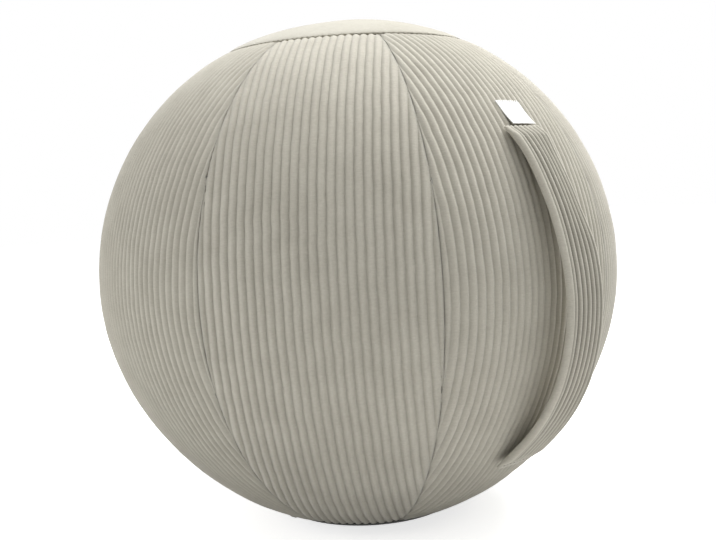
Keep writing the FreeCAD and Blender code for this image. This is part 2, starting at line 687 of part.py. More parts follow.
PIECES = [f"gore_panel_{number + 1}" for number in range(int(size("panel_count")))]
PIECES += ["top_cap", "base_disc", "zip_tape_upper", "zip_tape_lower", "zip_coil_upper", "zip_coil_lower"]
PIECES += ["zip_stop_start", "zip_stop_end", "zip_slider", "zip_pull", "carry_handle", "side_label"]
PIECES += ["inner_ball", "valve_seat", "valve_plug", "floor_ring"]


def check_and_write():
    """Stops on any failed object, then writes one file for each piece."""
    doc.recompute()
    for item in doc.Objects:
        if "Invalid" in item.State or "Error" in item.State:
            raise RuntimeError(f"{item.Name} failed: {item.State}")
    os.makedirs("parts", exist_ok=True)
    for label in PIECES:
        item = doc.getObject(label)
        if item.Shape.isNull() or not item.Shape.isValid() or not item.Shape.Solids:
            raise RuntimeError(f"{item.Label} has no valid solid")
        item.Shape.exportStep(f"parts/{item.Label}.step")
        print(f"{item.Label}: {item.Shape.Volume / 1000:.2f} cm3")


make_panels()
make_top_cap()
make_base_disc()
make_zip()
make_slider()
make_pull()
make_handle()
make_label()
make_inner_ball()
make_floor_ring()
check_and_write()
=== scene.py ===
"""Looks of a balance ball chair: ribbed velvet cover, carry handle, label, base, zip and inner ball.

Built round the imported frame. Metres, +Z up, the handle towards -Y.
"""
import math

import bmesh
import bpy
import numpy as np
from mathutils import Matrix, Vector


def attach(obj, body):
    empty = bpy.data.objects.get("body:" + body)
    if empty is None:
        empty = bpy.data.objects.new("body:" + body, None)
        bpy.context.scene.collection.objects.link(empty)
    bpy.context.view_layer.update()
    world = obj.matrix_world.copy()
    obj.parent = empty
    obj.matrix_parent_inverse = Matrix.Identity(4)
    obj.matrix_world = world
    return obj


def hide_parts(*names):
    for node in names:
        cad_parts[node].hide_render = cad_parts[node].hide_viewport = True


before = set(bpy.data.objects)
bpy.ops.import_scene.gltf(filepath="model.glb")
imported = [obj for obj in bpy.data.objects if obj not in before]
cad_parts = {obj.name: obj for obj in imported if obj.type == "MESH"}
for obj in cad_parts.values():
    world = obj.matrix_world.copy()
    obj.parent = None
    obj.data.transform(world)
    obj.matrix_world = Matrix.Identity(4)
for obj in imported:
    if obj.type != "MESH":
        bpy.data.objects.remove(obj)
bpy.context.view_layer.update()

bl_info = {
    "name": "Balance Ball Chair",
    "version": (1, 0, 0),
    "blender": (4, 5, 0),
    "location": "3D View > Sidebar > Ball Chair",
    "description": "Dresses the balance ball chair round its packed frame",
    "category": "Add Mesh",
}

MM = 0.001
COVER = "cover"
PANELS = [name for name in sorted(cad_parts) if name.startswith("gore_panel_")]

# Inner face of the strap: degrees above the widest level, distance from the ball's centre in mm.
STRAP_PATH = [
    (-39.4, 324.6), (-36.0, 327.4), (-32.0, 332.8), (-28.0, 339.0), (-23.0, 345.6), (-18.0, 350.8),
    (-13.0, 353.6), (-8.0, 354.9), (-3.0, 354.6), (2.0, 352.0), (7.0, 347.9), (12.0, 343.0),
    (17.0, 338.2), (22.0, 334.0), (26.0, 330.0), (28.4, 326.6), (29.8, 324.6),
]

# Middle of the valve and its way out of the ball.
VALVE_SEAT = Vector((0, 0.2212, 0.09567))
VALVE_OUT = Vector((0, 0.7139, -0.7002))
# Lowest point of the inflated ball above the floor.
BALL_FOOT = 0.0034

# Light of the studio that isn't a lamp's, the floor's own glow and the floor's white.
WORLD_LEVEL = 0.44
FLOOR_GLOW = 0.72
FLOOR_WHITE = (0.8, 0.8, 0.8, 1)
# Each lamp: name, degrees to the right of the camera, degrees up, distance, width, power.
LAMPS = [
    ("overhead_softbox", 120, 64, 2.3, 2.0, 82.0),
    ("left_softbox", -80, 14, 2.4, 0.9, 17.0),
    ("front_fill", 30, 40, 2.6, 1.6, 6.0),
]
# Camera, in degrees, metres and pixels of the picture.
IMAGE_WIDTH = 716
LENS_PIXELS = 973.4
CAMERA_AZIMUTH = -39.76
CAMERA_ELEVATION = 5.2
CAMERA_DISTANCE = 1.2626
CAMERA_ROLL = -3.24


# Small tools

def hex_colour(text):
    """An sRGB hex colour as linear red, green, blue, alpha."""
    values = [int(text[i:i + 2], 16) / 255 for i in (0, 2, 4)]
    return tuple(v / 12.92 if v <= 0.04045 else ((v + 0.055) / 1.055) ** 2.4 for v in values) + (1.0,)


def add_node(tree, kind, links=(), **settings):
    """Adds a node, sets its properties, and feeds its inputs with values or sockets."""
    node = tree.nodes.new(kind)
    for name, value in settings.items():
        setattr(node, name, value)
    pairs = links.items() if isinstance(links, dict) else enumerate(links)
    for key, value in pairs:
        if value is None:
            continue
        if isinstance(value, bpy.types.NodeSocket):
            tree.links.new(value, node.inputs[key])
        else:
            node.inputs[key].default_value = value
    return node


def work_out(tree, known, steps):
    """Adds a line of math nodes: each step is a name, an operation and its terms."""
    for name, operation, *terms in steps:
        inputs = [known.get(term, term) if isinstance(term, str) else term for term in terms]
        known[name] = add_node(tree, "ShaderNodeMath", inputs, operation=operation).outputs[0]
    return known


def new_geometry_tree(name, inputs):
    """A geometry tree with named inputs, and the sockets of those inputs."""
    tree = bpy.data.node_groups.new(name, "GeometryNodeTree")
    tree.interface.new_socket("Geometry", in_out="OUTPUT", socket_type="NodeSocketGeometry")
    for label, kind in inputs:
        tree.interface.new_socket(label, in_out="INPUT", socket_type=f"NodeSocket{kind}")
    source = tree.nodes.new("NodeGroupInput")
    return tree, {label: source.outputs[label] for label, _ in inputs}


def close_tree(tree, geometry, material):
    """Ends a tree: smoothly shaded, real geometry with its material."""
    smooth = add_node(tree, "GeometryNodeSetShadeSmooth", {0: geometry})
    real = add_node(tree, "GeometryNodeRealizeInstances", [smooth.outputs[0]])
    dressed = add_node(tree, "GeometryNodeSetMaterial", {0: real.outputs[0], "Material": material})
    add_node(tree, "NodeGroupOutput", [dressed.outputs[0]])


def grow(name, tree, values, start=None):
    """Runs a tree with the given inputs and returns the result as a plain mesh object."""
    mesh = start or bpy.data.meshes.new(name + "_start")
    item = bpy.data.objects.new(name, mesh)
    bpy.context.scene.collection.objects.link(item)
    modifier = item.modifiers.new("shape", "NODES")
    modifier.node_group = tree
    sockets = {s.name: s.identifier for s in tree.interface.items_tree if s.in_out == "INPUT"}
    for label, value in values.items():
        modifier[sockets[label]] = value
    return settle(item)


def settle(item):
    """Turns an object with live modifiers into one with a plain mesh."""
    graph = bpy.context.evaluated_depsgraph_get()
    graph.update()
    mesh = bpy.data.meshes.new_from_object(item.evaluated_get(graph), depsgraph=graph)
    item.modifiers.clear()
    item.data = mesh
    mesh.name = item.name
    return item


def length(name, description, default):
    """A property that holds a length in metres."""
    return bpy.props.FloatProperty(
        name=name, description=description, default=default, precision=5, unit="LENGTH")


def mesh_object(name, points, faces, smooth=True):
    """A mesh object from points and faces."""
    mesh = bpy.data.meshes.new(name)
    mesh.from_pydata([tuple(p) for p in points], [], faces)
    mesh.update()
    if smooth:
        mesh.shade_smooth()
    item = bpy.data.objects.new(name, mesh)
    bpy.context.scene.collection.objects.link(item)
    return item


def grid_faces(rows, columns, closed_rows=False, closed_columns=False):
    """Quads of a grid of points stored row by row."""
    faces = []
    for i in range(rows if closed_rows else rows - 1):
        for j in range(columns if closed_columns else columns - 1):
            a, b = i * columns + j, i * columns + (j + 1) % columns
            c, d = (i + 1) % rows * columns + (j + 1) % columns, (i + 1) % rows * columns + j
            faces.append((a, b, c, d))
    return faces


def ring_points(reach, height, around):
    """Evenly spaced points of a level circle round the upright axis."""
    turns = (math.tau * j / around for j in range(around))
    return [(reach * math.cos(turn), reach * math.sin(turn), height) for turn in turns]


def front_point(across, distance, angle):
    """A point of the ball's front: across, distance from the ball's centre, angle above the widest level."""
    centre = bpy.context.scene.ball_cover.centre_height
    return across, -distance * math.cos(angle), centre + distance * math.sin(angle)


def outward(item):
    """Merges doubles and points the faces outwards."""
    work = bmesh.new()
    work.from_mesh(item.data)
    bmesh.ops.remove_doubles(work, verts=work.verts, dist=1e-6)
    bmesh.ops.recalc_face_normals(work, faces=work.faces)
    work.to_mesh(item.data)
    work.free()
    return item


def thicken(item, thickness):
    """Gives a skin its thickness, inwards, and closes its edges."""
    wall = item.modifiers.new("wall", "SOLIDIFY")
    wall.thickness = thickness
    wall.offset = -1
    wall.use_rim = True
    return settle(item)


def piece(item, slot, material, *nodes, body=COVER):
    """Says what a finished piece rides on, its material and the nodes it stands for. The slot argument is not
    used.
    """
    if not item.data.materials:
        item.data.materials.append(material)
    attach(item, body)
    if nodes:
        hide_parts(*nodes)
    return item


def cover_radius(angle):
    """Distance of the cover's crests from the ball's centre, by angle above the widest level."""
    size = bpy.context.scene.ball_cover
    if angle > 0:
        return size.top_rise + (size.ball_radius - size.top_rise) * math.cos(angle)
    fade = math.cos(min(-2 * angle, math.pi / 2)) ** 2
    return size.bottom_drop + (size.ball_radius - size.bottom_drop) * fade


# Materials

def new_material(name):
    """An empty material with a Principled shader; returns it with its tree and shader."""
    material = bpy.data.materials.new(name)
    material.use_nodes = True
    tree = material.node_tree
    return material, tree, tree.nodes["Principled BSDF"]


def noise(tree, place, scale, detail, roughness=0.5):
    """Noise at a place; its scale is in features to the metre."""
    return add_node(tree, "ShaderNodeTexNoise", {
        "Vector": place, "Scale": scale, "Detail": detail, "Roughness": roughness}).outputs[0]


def two_tone(tree, share, dark, light):
    """A colour between two sRGB hex colours."""
    return add_node(tree, "ShaderNodeMix", {0: share, 6: hex_colour(dark), 7: hex_colour(light)},
                    data_type="RGBA").outputs[2]


def relief(tree, shader, height, strength, depth):
    """Bumps a finish by a height, to a depth in metres."""
    bump = add_node(tree, "ShaderNodeBump", {"Height": height, "Strength": strength, "Distance": depth})
    tree.links.new(bump.outputs[0], shader.inputs["Normal"])


def set_finish(shader, **values):
    """Sets inputs of a shader; an underscore stands for a space."""
    for name, value in values.items():
        shader.inputs[name.replace("_", " ")].default_value = value


def pile_cloth(name, light, dark, sheen, groove=0.0):
    """Short-pile cloth: the nap lies in soft patches, crushed into faint level streaks, over a fine pile.
    With a groove strength, painted shade darkens it where the 'groove' attribute marks rib channels and
    seams.
    """
    material, tree, shader = new_material(name)
    place = add_node(tree, "ShaderNodeTexCoord").outputs["Object"]
    level = add_node(tree, "ShaderNodeVectorMath", [place, (1.0, 1.0, 3.6)], operation="MULTIPLY").outputs[0]
    known = {
        "nap": noise(tree, place, 26.0, 5.0, 0.6),
        "streak": noise(tree, level, 210.0, 3.0, 0.6),
        "pile": noise(tree, place, 1500.0, 2.0, 0.6),
    }
    # Painted shade: the 'groove' attribute, scaled by the groove strength, darkens the colour in the rib
    # channels and at the seams.
    if groove:
        known["groove"] = add_node(tree, "ShaderNodeAttribute", attribute_name="groove").outputs["Fac"]
    work_out(tree, known, [
        ("nap share", "MULTIPLY_ADD", "nap", 1.0, -0.6),
        ("nap and streak", "MULTIPLY_ADD", "streak", 0.9, "nap share"),
        ("share", "MULTIPLY_ADD", "pile", 0.7, "nap and streak"),
        ("painted_shade", "MULTIPLY_ADD", "groove" if groove else 0.0, -groove, 1.0),
        ("streak height", "MULTIPLY", "streak", 0.8),
        ("height", "MULTIPLY_ADD", "pile", 0.35, "streak height"),
    ])
    # The pile's colour, darkened by the painted shade.
    shaded = add_node(tree, "ShaderNodeVectorMath",
                      {0: two_tone(tree, known["share"], dark, light), "Scale": known["painted_shade"]},
                      operation="SCALE")
    tree.links.new(shaded.outputs[0], shader.inputs["Base Color"])
    relief(tree, shader, known["height"], 0.55, 0.0009)
    set_finish(shader, Roughness=0.95, Specular_IOR_Level=0.15, Sheen_Weight=sheen, Sheen_Roughness=0.5)
    return material


def woven_cloth(name, light, dark, thread, roughness=0.85):
    """Plain weave: over-and-under threads in two directions."""
    material, tree, shader = new_material(name)
    place = add_node(tree, "ShaderNodeTexCoord").outputs["Object"]
    # A wave texture of this scale repeats every pi threads.
    scale = 0.1 / thread
    waves = {}
    for axis in "XYZ":
        wave = add_node(tree, "ShaderNodeTexWave", {
            "Vector": place, "Scale": scale, "Distortion": 0.6, "Detail": 1.0}, bands_direction=axis)
        waves[axis] = wave.outputs["Fac"]
    weave = work_out(tree, waves, [
        ("crossing", "MULTIPLY", "X", "Y"), ("height", "MAXIMUM", "crossing", "Z"),
    ])["height"]
    tree.links.new(two_tone(tree, weave, dark, light), shader.inputs["Base Color"])
    relief(tree, shader, weave, 0.3, 0.0003)
    set_finish(shader, Roughness=roughness)
    return material


def moulded_plastic(name, colour, shade, grain, roughness):
    """Soft plastic: faint flow marks and a fine moulded grain."""
    material, tree, shader = new_material(name)
    place = add_node(tree, "ShaderNodeTexCoord").outputs["Object"]
    flow = noise(tree, place, 12.0, 3.0)
    tree.links.new(two_tone(tree, flow, shade, colour), shader.inputs["Base Color"])
    relief(tree, shader, noise(tree, place, 1 / grain, 2.0), 0.15, 0.0002)
    set_finish(shader, Roughness=roughness, IOR=1.5)
    return material


def plated_metal(name, colour, shade):
    """Nickel-plated die-cast metal, lightly tumbled."""
    material, tree, shader = new_material(name)
    place = add_node(tree, "ShaderNodeTexCoord").outputs["Object"]
    marks = noise(tree, place, 900.0, 4.0)
    tree.links.new(two_tone(tree, marks, shade, colour), shader.inputs["Base Color"])
    rough = work_out(tree, {"marks": marks}, [("rough", "MULTIPLY_ADD", "marks", 0.25, 0.22)])
    tree.links.new(rough["rough"], shader.inputs["Roughness"])
    set_finish(shader, Metallic=1.0)
    return material


def make_materials():
    """All finishes, by the slot that they dress."""
    look = bpy.context.scene.ball_colours
    return {
        # Ribbed cotton velvet: short matt pile, with painted shade in its rib channels and at its seams, pale
        # at grazing angles.
        "ribbed_velvet": pile_cloth("ribbed_cotton_velvet", look.velvet, look.velvet_shade, 0.25, 0.62),
        # Plain velvet of the same dye, its colours set below the ribbed velvet's: painted shade on the top,
        # which the overhead softbox lights strongly. It is smoother and still looks paler.
        "smooth_velvet": pile_cloth("plain_cotton_velvet", look.cap, look.cap_shade, 0.3),
        # Satin-woven polyester label, bare.
        "woven_label": woven_cloth("satin_woven_polyester", look.label, "E3E3E0", 0.0006, 0.6),
        # Coated canvas with rubbery dots.
        "base_cloth": woven_cloth("pvc_coated_canvas", look.base, "242423", 0.0012),
        # Flat rubber dots printed on the canvas.
        "base_dots": moulded_plastic("printed_rubber", "1F1F1E", "171716", 0.0005, 0.6),
        "zip_tape": woven_cloth("twill_zip_tape", "98948A", "7C786E", 0.0009),
        "zip_coil": moulded_plastic("nylon_monofilament", "8D897E", "7A766B", 0.0008, 0.4),
        "zip_metal": plated_metal("nickel_plated_zinc", "B9B8B4", "8E8D89"),
        "ring_cloth": woven_cloth("calico_over_stuffing", "5A5955", "434240", 0.0011),
        "ball_skin": moulded_plastic("soft_pvc", "A3A4A6", "929395", 0.0016, 0.42),
        "plug_plastic": moulded_plastic("polypropylene", "E6E6E3", "DADAD6", 0.0010, 0.35),
        # Spun polyester thread, sunk in the pile.
        "thread": woven_cloth("spun_polyester_thread", look.thread, "8B877B", 0.0005),
    }


# Cover panels

def panel_tree(material):
    """One panel of the cover: ribs parallel to its middle, cut off and drawn in at the seams."""
    tree, known = new_geometry_tree("ribbed_panel", [
        ("Ball Radius", "Float"), ("Top Rise", "Float"), ("Bottom Drop", "Float"), ("Centre Height", "Float"),
        ("Lowest Angle", "Float"), ("Highest Angle", "Float"), ("Half Panel", "Float"), ("Seam Gap", "Float"),
        ("Ribs", "Int"), ("Rib Pitch", "Float"), ("Rib Depth", "Float"), ("Seam Pinch", "Float"),
        ("Steps In Rib", "Int"), ("Rows", "Int"), ("Turn", "Float"), ("Wobble", "Float"), ("Seed", "Float"),
        ("Rib Wave", "Float"), ("Rib Taper", "Float"), ("Hem Angle", "Float"), ("Hem Share", "Float"),
        ("Hem Slope", "Float"),
    ])
    counts = work_out(tree, known, [
        ("columns", "MULTIPLY", "Ribs", "Steps In Rib"),
        ("points across", "ADD", "columns", 1.0),
        ("points along", "ADD", "Rows", 1.0),
    ])
    grid = add_node(tree, "GeometryNodeMeshGrid", {
        "Size X": 1.0, "Size Y": 1.0,
        "Vertices X": counts["points across"], "Vertices Y": counts["points along"]})
    place = add_node(tree, "ShaderNodeSeparateXYZ", [add_node(tree, "GeometryNodeInputPosition").outputs[0]])
    known.update({"X": place.outputs[0], "Y": place.outputs[1]})
    work_out(tree, known, [
        ("x half", "ADD", "X", 0.5),
        ("column raw", "MULTIPLY", "x half", "columns"),
        ("column", "ROUND", "column raw"),
        ("rib raw", "DIVIDE", "column", "Steps In Rib"),
        ("rib", "FLOOR", "rib raw"),
        ("step raw", "SUBTRACT", "rib raw", "rib"),
        ("turn in rib", "MULTIPLY", "step raw", math.pi),
        ("cosine", "COSINE", "turn in rib"),
        ("place in rib", "MULTIPLY", "cosine", -0.5),
        ("half ribs", "MULTIPLY", "Ribs", 0.5),
        ("rib middle", "ADD", "rib", 0.5),
        ("rib from middle", "SUBTRACT", "rib middle", "half ribs"),
        ("place in ribs", "ADD", "rib from middle", "place in rib"),
        ("y even", "MULTIPLY", "place in ribs", "Rib Pitch"),
        ("hem raw", "MULTIPLY_ADD", "y even", "Hem Slope", "Hem Share"),
        ("hem low", "MAXIMUM", "hem raw", 0.0),
        ("hem", "MINIMUM", "hem low", 1.0),
        ("hem drop", "MULTIPLY", "hem", "Hem Angle"),
        ("lowest", "SUBTRACT", "Lowest Angle", "hem drop"),
        ("span", "SUBTRACT", "Highest Angle", "lowest"),
        ("y half", "ADD", "Y", 0.5),
        ("angle", "MULTIPLY_ADD", "y half", "span", "lowest"),
        ("cos angle", "COSINE", "angle"),
        ("climb", "SUBTRACT", 1.0, "cos angle"),
        ("up side", "GREATER_THAN", "angle", 0.0),
        ("climb up", "MULTIPLY", "climb", "up side"),
        ("narrowing", "MULTIPLY", "climb up", "Rib Taper"),
        ("narrow", "SUBTRACT", 1.0, "narrowing"),
        ("y taper", "MULTIPLY", "y even", "narrow"),
    ])
    wave_at = add_node(tree, "ShaderNodeCombineXYZ", [known["y even"], known["angle"], known["Seed"]])
    known["wave raw"] = noise(tree, wave_at.outputs[0], 14.0, 2.0)
    work_out(tree, known, [
        ("wave", "SUBTRACT", "wave raw", 0.5),
        ("y", "MULTIPLY_ADD", "wave", "Rib Wave", "y taper"),
        ("sin angle", "SINE", "angle"),
        ("swell above", "SUBTRACT", "Ball Radius", "Top Rise"),
        ("above", "MULTIPLY_ADD", "cos angle", "swell above", "Top Rise"),
        ("down", "MULTIPLY", "angle", -2.0),
        ("down capped", "MINIMUM", "down", math.pi / 2),
        ("down cos", "COSINE", "down capped"),
        ("down square", "MULTIPLY", "down cos", "down cos"),
        ("swell below", "SUBTRACT", "Ball Radius", "Bottom Drop"),
        ("below", "MULTIPLY_ADD", "down square", "swell below", "Bottom Drop"),
        ("is above", "GREATER_THAN", "angle", 0.0),
        ("difference", "SUBTRACT", "above", "below"),
        ("radius", "MULTIPLY_ADD", "difference", "is above", "below"),
        ("reach", "MULTIPLY", "radius", "cos angle"),
        ("sin half", "SINE", "Half Panel"),
        ("half width", "MULTIPLY", "reach", "sin half"),
        ("side", "ABSOLUTE", "y"),
        ("to seam raw", "SUBTRACT", "half width", "side"),
        ("to seam", "MAXIMUM", "to seam raw", 0.0),
        ("minus half", "MULTIPLY", "half width", -1.0),
        ("y least", "MAXIMUM", "y", "minus half"),
        ("y kept", "MINIMUM", "y least", "half width"),
        ("to top raw", "SUBTRACT", "Highest Angle", "angle"),
        ("to top", "MULTIPLY", "to top raw", "radius"),
        ("to foot raw", "SUBTRACT", "angle", "lowest"),
        ("to foot", "MULTIPLY", "to foot raw", "radius"),
    ])
    for edge, reach in (("seam", 0.0022), ("top", 0.004), ("foot", 0.004)):
        work_out(tree, known, [
            (f"{edge} share", "DIVIDE", f"to {edge}", -reach),
            (f"{edge} fade", "EXPONENT", f"{edge} share"),
        ])
    noise_at = add_node(tree, "ShaderNodeCombineXYZ", [known["y kept"], known["to foot"], known["Seed"]])
    known["noise"] = noise(tree, noise_at.outputs[0], 22.0, 2.0)
    work_out(tree, known, [
        ("twice place", "MULTIPLY", "place in rib", 2.0),
        ("place square", "MULTIPLY", "twice place", "twice place"),
        ("arch raw", "SUBTRACT", 1.0, "place square"),
        ("arch base", "MAXIMUM", "arch raw", 0.0),
        ("arch", "POWER", "arch base", 1.3),
        ("groove", "SUBTRACT", 1.0, "arch"),
        ("held edge", "MAXIMUM", "seam fade", "foot fade"),
        ("clear of edges", "SUBTRACT", 1.0, "held edge"),
        ("groove left", "MULTIPLY", "groove", "clear of edges"),
        ("flatter", "MULTIPLY_ADD", "climb up", -0.55, 1.0),
        ("groove here", "MULTIPLY", "groove left", "flatter"),
        ("rib drop", "MULTIPLY", "groove here", "Rib Depth"),
        ("edges above", "ADD", "seam fade", "top fade"),
        ("edges", "MULTIPLY_ADD", "foot fade", 0.25, "edges above"),
        ("edge drop", "MULTIPLY", "edges", "Seam Pinch"),
        ("drop", "ADD", "rib drop", "edge drop"),
        ("noise mid", "SUBTRACT", "noise", 0.5),
        ("soft drop", "MULTIPLY", "noise mid", "Wobble"),
        ("drop all", "ADD", "drop", "soft drop"),
        ("radius here", "SUBTRACT", "radius", "drop all"),
        ("reach here", "MULTIPLY", "radius here", "cos angle"),
        ("z", "MULTIPLY_ADD", "radius here", "sin angle", "Centre Height"),
        ("half width here", "MULTIPLY", "reach here", "sin half"),
        ("right edge", "SUBTRACT", "half width here", "Seam Gap"),
        ("left edge", "MULTIPLY", "right edge", -1.0),
        ("y from left", "MAXIMUM", "y", "left edge"),
        ("y here", "MINIMUM", "y from left", "right edge"),
        ("reach sq", "MULTIPLY", "reach here", "reach here"),
        ("y sq", "MULTIPLY", "y here", "y here"),
        ("x sq", "SUBTRACT", "reach sq", "y sq"),
        ("x", "SQRT", "x sq"),
        # Painted shade, stored as the 'groove' attribute: the colour darkens in the rib channels and along
        # the seams, where shade falls.
        ("valley mark", "MULTIPLY", "groove here", 0.24),
        ("seam mark", "MULTIPLY", "seam fade", 0.6),
        ("mark", "MAXIMUM", "valley mark", "seam mark"),
    ])
    spot = add_node(tree, "ShaderNodeCombineXYZ", [known["x"], known["y here"], known["z"]])
    turned = add_node(tree, "ShaderNodeVectorRotate", {"Vector": spot.outputs[0], "Angle": known["Turn"]},
                      rotation_type="Z_AXIS")
    kept = add_node(tree, "GeometryNodeStoreNamedAttribute",
                    {"Geometry": grid.outputs[0], "Name": "groove", "Value": known["mark"]},
                    data_type="FLOAT", domain="POINT")
    moved = add_node(tree, "GeometryNodeSetPosition", {
        "Geometry": kept.outputs[0], "Position": turned.outputs[0]})
    merged = add_node(tree, "GeometryNodeMergeByDistance", {"Geometry": moved.outputs[0], "Distance": 1e-5})
    close_tree(tree, merged.outputs[0], material)
    return tree


class BallCover(bpy.types.PropertyGroup):
    """Sizes of the cover."""
    ball_radius: length("Ball radius", "Widest radius at the rib crests", 0.325)
    top_rise: length("Top rise", "Height of the crown above the widest level", 0.312)
    bottom_drop: length("Bottom drop", "Radius of the underside", 0.3195)
    centre_height: length("Centre height", "Widest level above the floor", 0.31001)
    ribs: bpy.props.IntProperty(name="Ribs", description="Ribs across one panel", default=27, min=3)
    rib_pitch: length("Rib pitch", "One rib to the next", 0.0093)
    rib_depth: length("Rib depth", "Crest to channel", 0.0027)
    rib_wave: length("Rib wave", "How far a rib strays sideways", 0.0022)
    seam_pinch: length("Seam pinch", "How far a seam is drawn in", 0.0022)
    wobble: length("Wobble", "Unevenness of the padded cloth", 0.0014)
    panel_turn: bpy.props.FloatProperty(
        name="Panel turn", description="Turn of the panels from the handle", default=math.radians(-2.5),
        subtype="ANGLE")
    cloth: length("Cloth", "Thickness of the padded cloth", 0.0024)
    opening_radius: length("Base opening", "Lower edge of the panels", 0.1249)
    hem_radius: length("Front hem", "Lower edge of the front panels", 0.1195)
    cap_radius: length("Cap radius", "Seam of the top cap", 0.151)


class BALLCHAIR_OT_cover_panels(bpy.types.Operator):
    """Eight ribbed panels, sewn together"""
    bl_idname = "ballchair.cover_panels"
    bl_label = "Cover panels"

    def execute(self, context):
        size = context.scene.ball_cover
        finish = MATERIALS["ribbed_velvet"]
        tree = panel_tree(finish)
        count = len(PANELS)
        low, high = edge_angle(-size.opening_radius), edge_angle(size.cap_radius)
        for number, node in enumerate(PANELS):
            turn = -math.pi / 2 + size.panel_turn + number * math.tau / count
            item = grow(f"velvet_panel_{number + 1}", tree, {
                "Ball Radius": size.ball_radius, "Top Rise": size.top_rise, "Bottom Drop": size.bottom_drop,
                "Centre Height": size.centre_height, "Lowest Angle": low, "Highest Angle": high,
                "Half Panel": math.pi / count, "Seam Gap": 0.00005, "Ribs": size.ribs,
                "Rib Pitch": size.rib_pitch, "Rib Depth": size.rib_depth, "Seam Pinch": size.seam_pinch,
                "Steps In Rib": 8, "Rows": 150, "Turn": turn, "Wobble": size.wobble, "Seed": number * 0.37,
                "Rib Wave": size.rib_wave, "Rib Taper": 0.22, "Hem Angle": low - edge_angle(-size.hem_radius),
                "Hem Share": 1.0 if number in (0, 1, 7) else 0.0,
                "Hem Slope": {2: -25.0, 6: 25.0}.get(number, 0.0),
            })
            thicken(item, size.cloth)
            piece(item, "ribbed_velvet", finish, node)
        return {"FINISHED"}


def edge_angle(radius):
    """Angle above the widest level at which the cover has a radius; a minus sign asks for the lower one."""
    low, high = 0.0, math.pi / 2
    way = 1 if radius > 0 else -1
    for _ in range(50):
        middle = (low + high) / 2
        if cover_radius(way * middle) * math.cos(middle) > abs(radius):
            low = middle
        else:
            high = middle
    return way * low


# Top cap

class BALLCHAIR_OT_top_cap(bpy.types.Operator):
    """Round cap of plain velvet, with the stitches of its seam"""
    bl_idname = "ballchair.top_cap"
    bl_label = "Top cap"

    def execute(self, context):
        size = context.scene.ball_cover
        start, rings, around = edge_angle(size.cap_radius), 40, 240
        points = []
        for i in range(rings):
            angle = start + (math.pi / 2 - start) * (i / rings) ** 1.1
            run = (angle - start) * size.top_rise
            for j in range(around):
                turn = math.tau * j / around
                pucker = 0.0003 * math.cos(turn * 80) * math.exp(-run / 0.012)
                seam = 0.002 * math.exp(-run / 0.004)
                radius = cover_radius(angle) - seam + pucker + 0.0006 * math.sin(3 * turn + 9 * run)
                reach = radius * math.cos(angle) - (0.0002 if i == 0 else 0)
                points.append((reach * math.cos(turn), reach * math.sin(turn),
                               size.centre_height + radius * math.sin(angle)))
        points.append((0, 0, size.centre_height + cover_radius(math.pi / 2)))
        faces = grid_faces(rings, around, closed_columns=True)
        last = (rings - 1) * around
        faces += [(last + j, last + (j + 1) % around, len(points) - 1) for j in range(around)]
        item = mesh_object("velvet_top_cap", points, faces)
        thicken(item, size.cloth)
        piece(item, "smooth_velvet", MATERIALS["smooth_velvet"], "top_cap")
        rim = [(size.cap_radius * math.cos(t), size.cap_radius * math.sin(t),
                size.centre_height + (cover_radius(start) - 0.0016) * math.sin(start))
               for t in (math.tau * k / 180 for k in range(181))]
        stitches("cap_seam_stitches", rim, 0.0062, 0.0036, 0.0006)
        return {"FINISHED"}


def stitch_tree():
    """Short thread capsules spaced along a curve."""
    tree, known = new_geometry_tree("stitch_row", [
        ("Geometry", "Geometry"), ("Spacing", "Float"), ("Length", "Float"), ("Radius", "Float")])
    line = add_node(tree, "GeometryNodeMeshToCurve", [known["Geometry"]])
    points = add_node(tree, "GeometryNodeCurveToPoints", {
        "Curve": line.outputs[0], "Length": known["Spacing"]}, mode="LENGTH")
    body = add_node(tree, "GeometryNodeMeshUVSphere", {"Segments": 8, "Rings": 6, "Radius": 1.0})
    work_out(tree, known, [("half", "MULTIPLY", "Length", 0.5)])
    scale = add_node(tree, "ShaderNodeCombineXYZ", [known["Radius"], known["Radius"], known["half"]])
    rows = add_node(tree, "GeometryNodeInstanceOnPoints", {
        "Points": points.outputs["Points"], "Instance": body.outputs[0],
        "Rotation": points.outputs["Rotation"], "Scale": scale.outputs[0]})
    close_tree(tree, rows.outputs[0], MATERIALS["thread"])
    return tree


def stitches(name, path, spacing, length, radius, body=COVER):
    """A row of stitches along a path."""
    start = bpy.data.meshes.new(name + "_line")
    start.from_pydata([tuple(p) for p in path], [(i, i + 1) for i in range(len(path) - 1)], [])
    tree = bpy.data.node_groups.get("stitch_row") or stitch_tree()
    item = grow(name, tree, {"Spacing": spacing, "Length": length, "Radius": radius}, start)
    return piece(item, "ribbed_velvet", MATERIALS["thread"], body=body)


# Carry handle

class BallHandle(bpy.types.PropertyGroup):
    """Sizes of the carry handle and its label."""
    width: length("Width", "Strap across", 0.054)
    thickness: length("Thickness", "Padded strap", 0.0085)
    border: length("Border", "Rolled edge beside the ribs", 0.0048)
    ribs: bpy.props.IntProperty(name="Ribs", description="Ribs on the strap", default=6, min=1)
    rib_depth: length("Rib depth", "Crest to channel", 0.0040)
    label_width: length("Label width", "Label across", 0.0366)
    label_low: bpy.props.FloatProperty(
        name="Label foot", description="Lower edge above the widest level", default=math.radians(30.45),
        subtype="ANGLE")
    label_high: bpy.props.FloatProperty(
        name="Label top", description="Upper edge above the widest level", default=math.radians(36.5),
        subtype="ANGLE")
    label_shift: length("Label shift", "Label to the side of the strap's middle", 0.0065)


def smooth_step(value):
    """0 below 0, 1 above 1, smooth between."""
    value = min(max(value, 0.0), 1.0)
    return value * value * (3 - 2 * value)


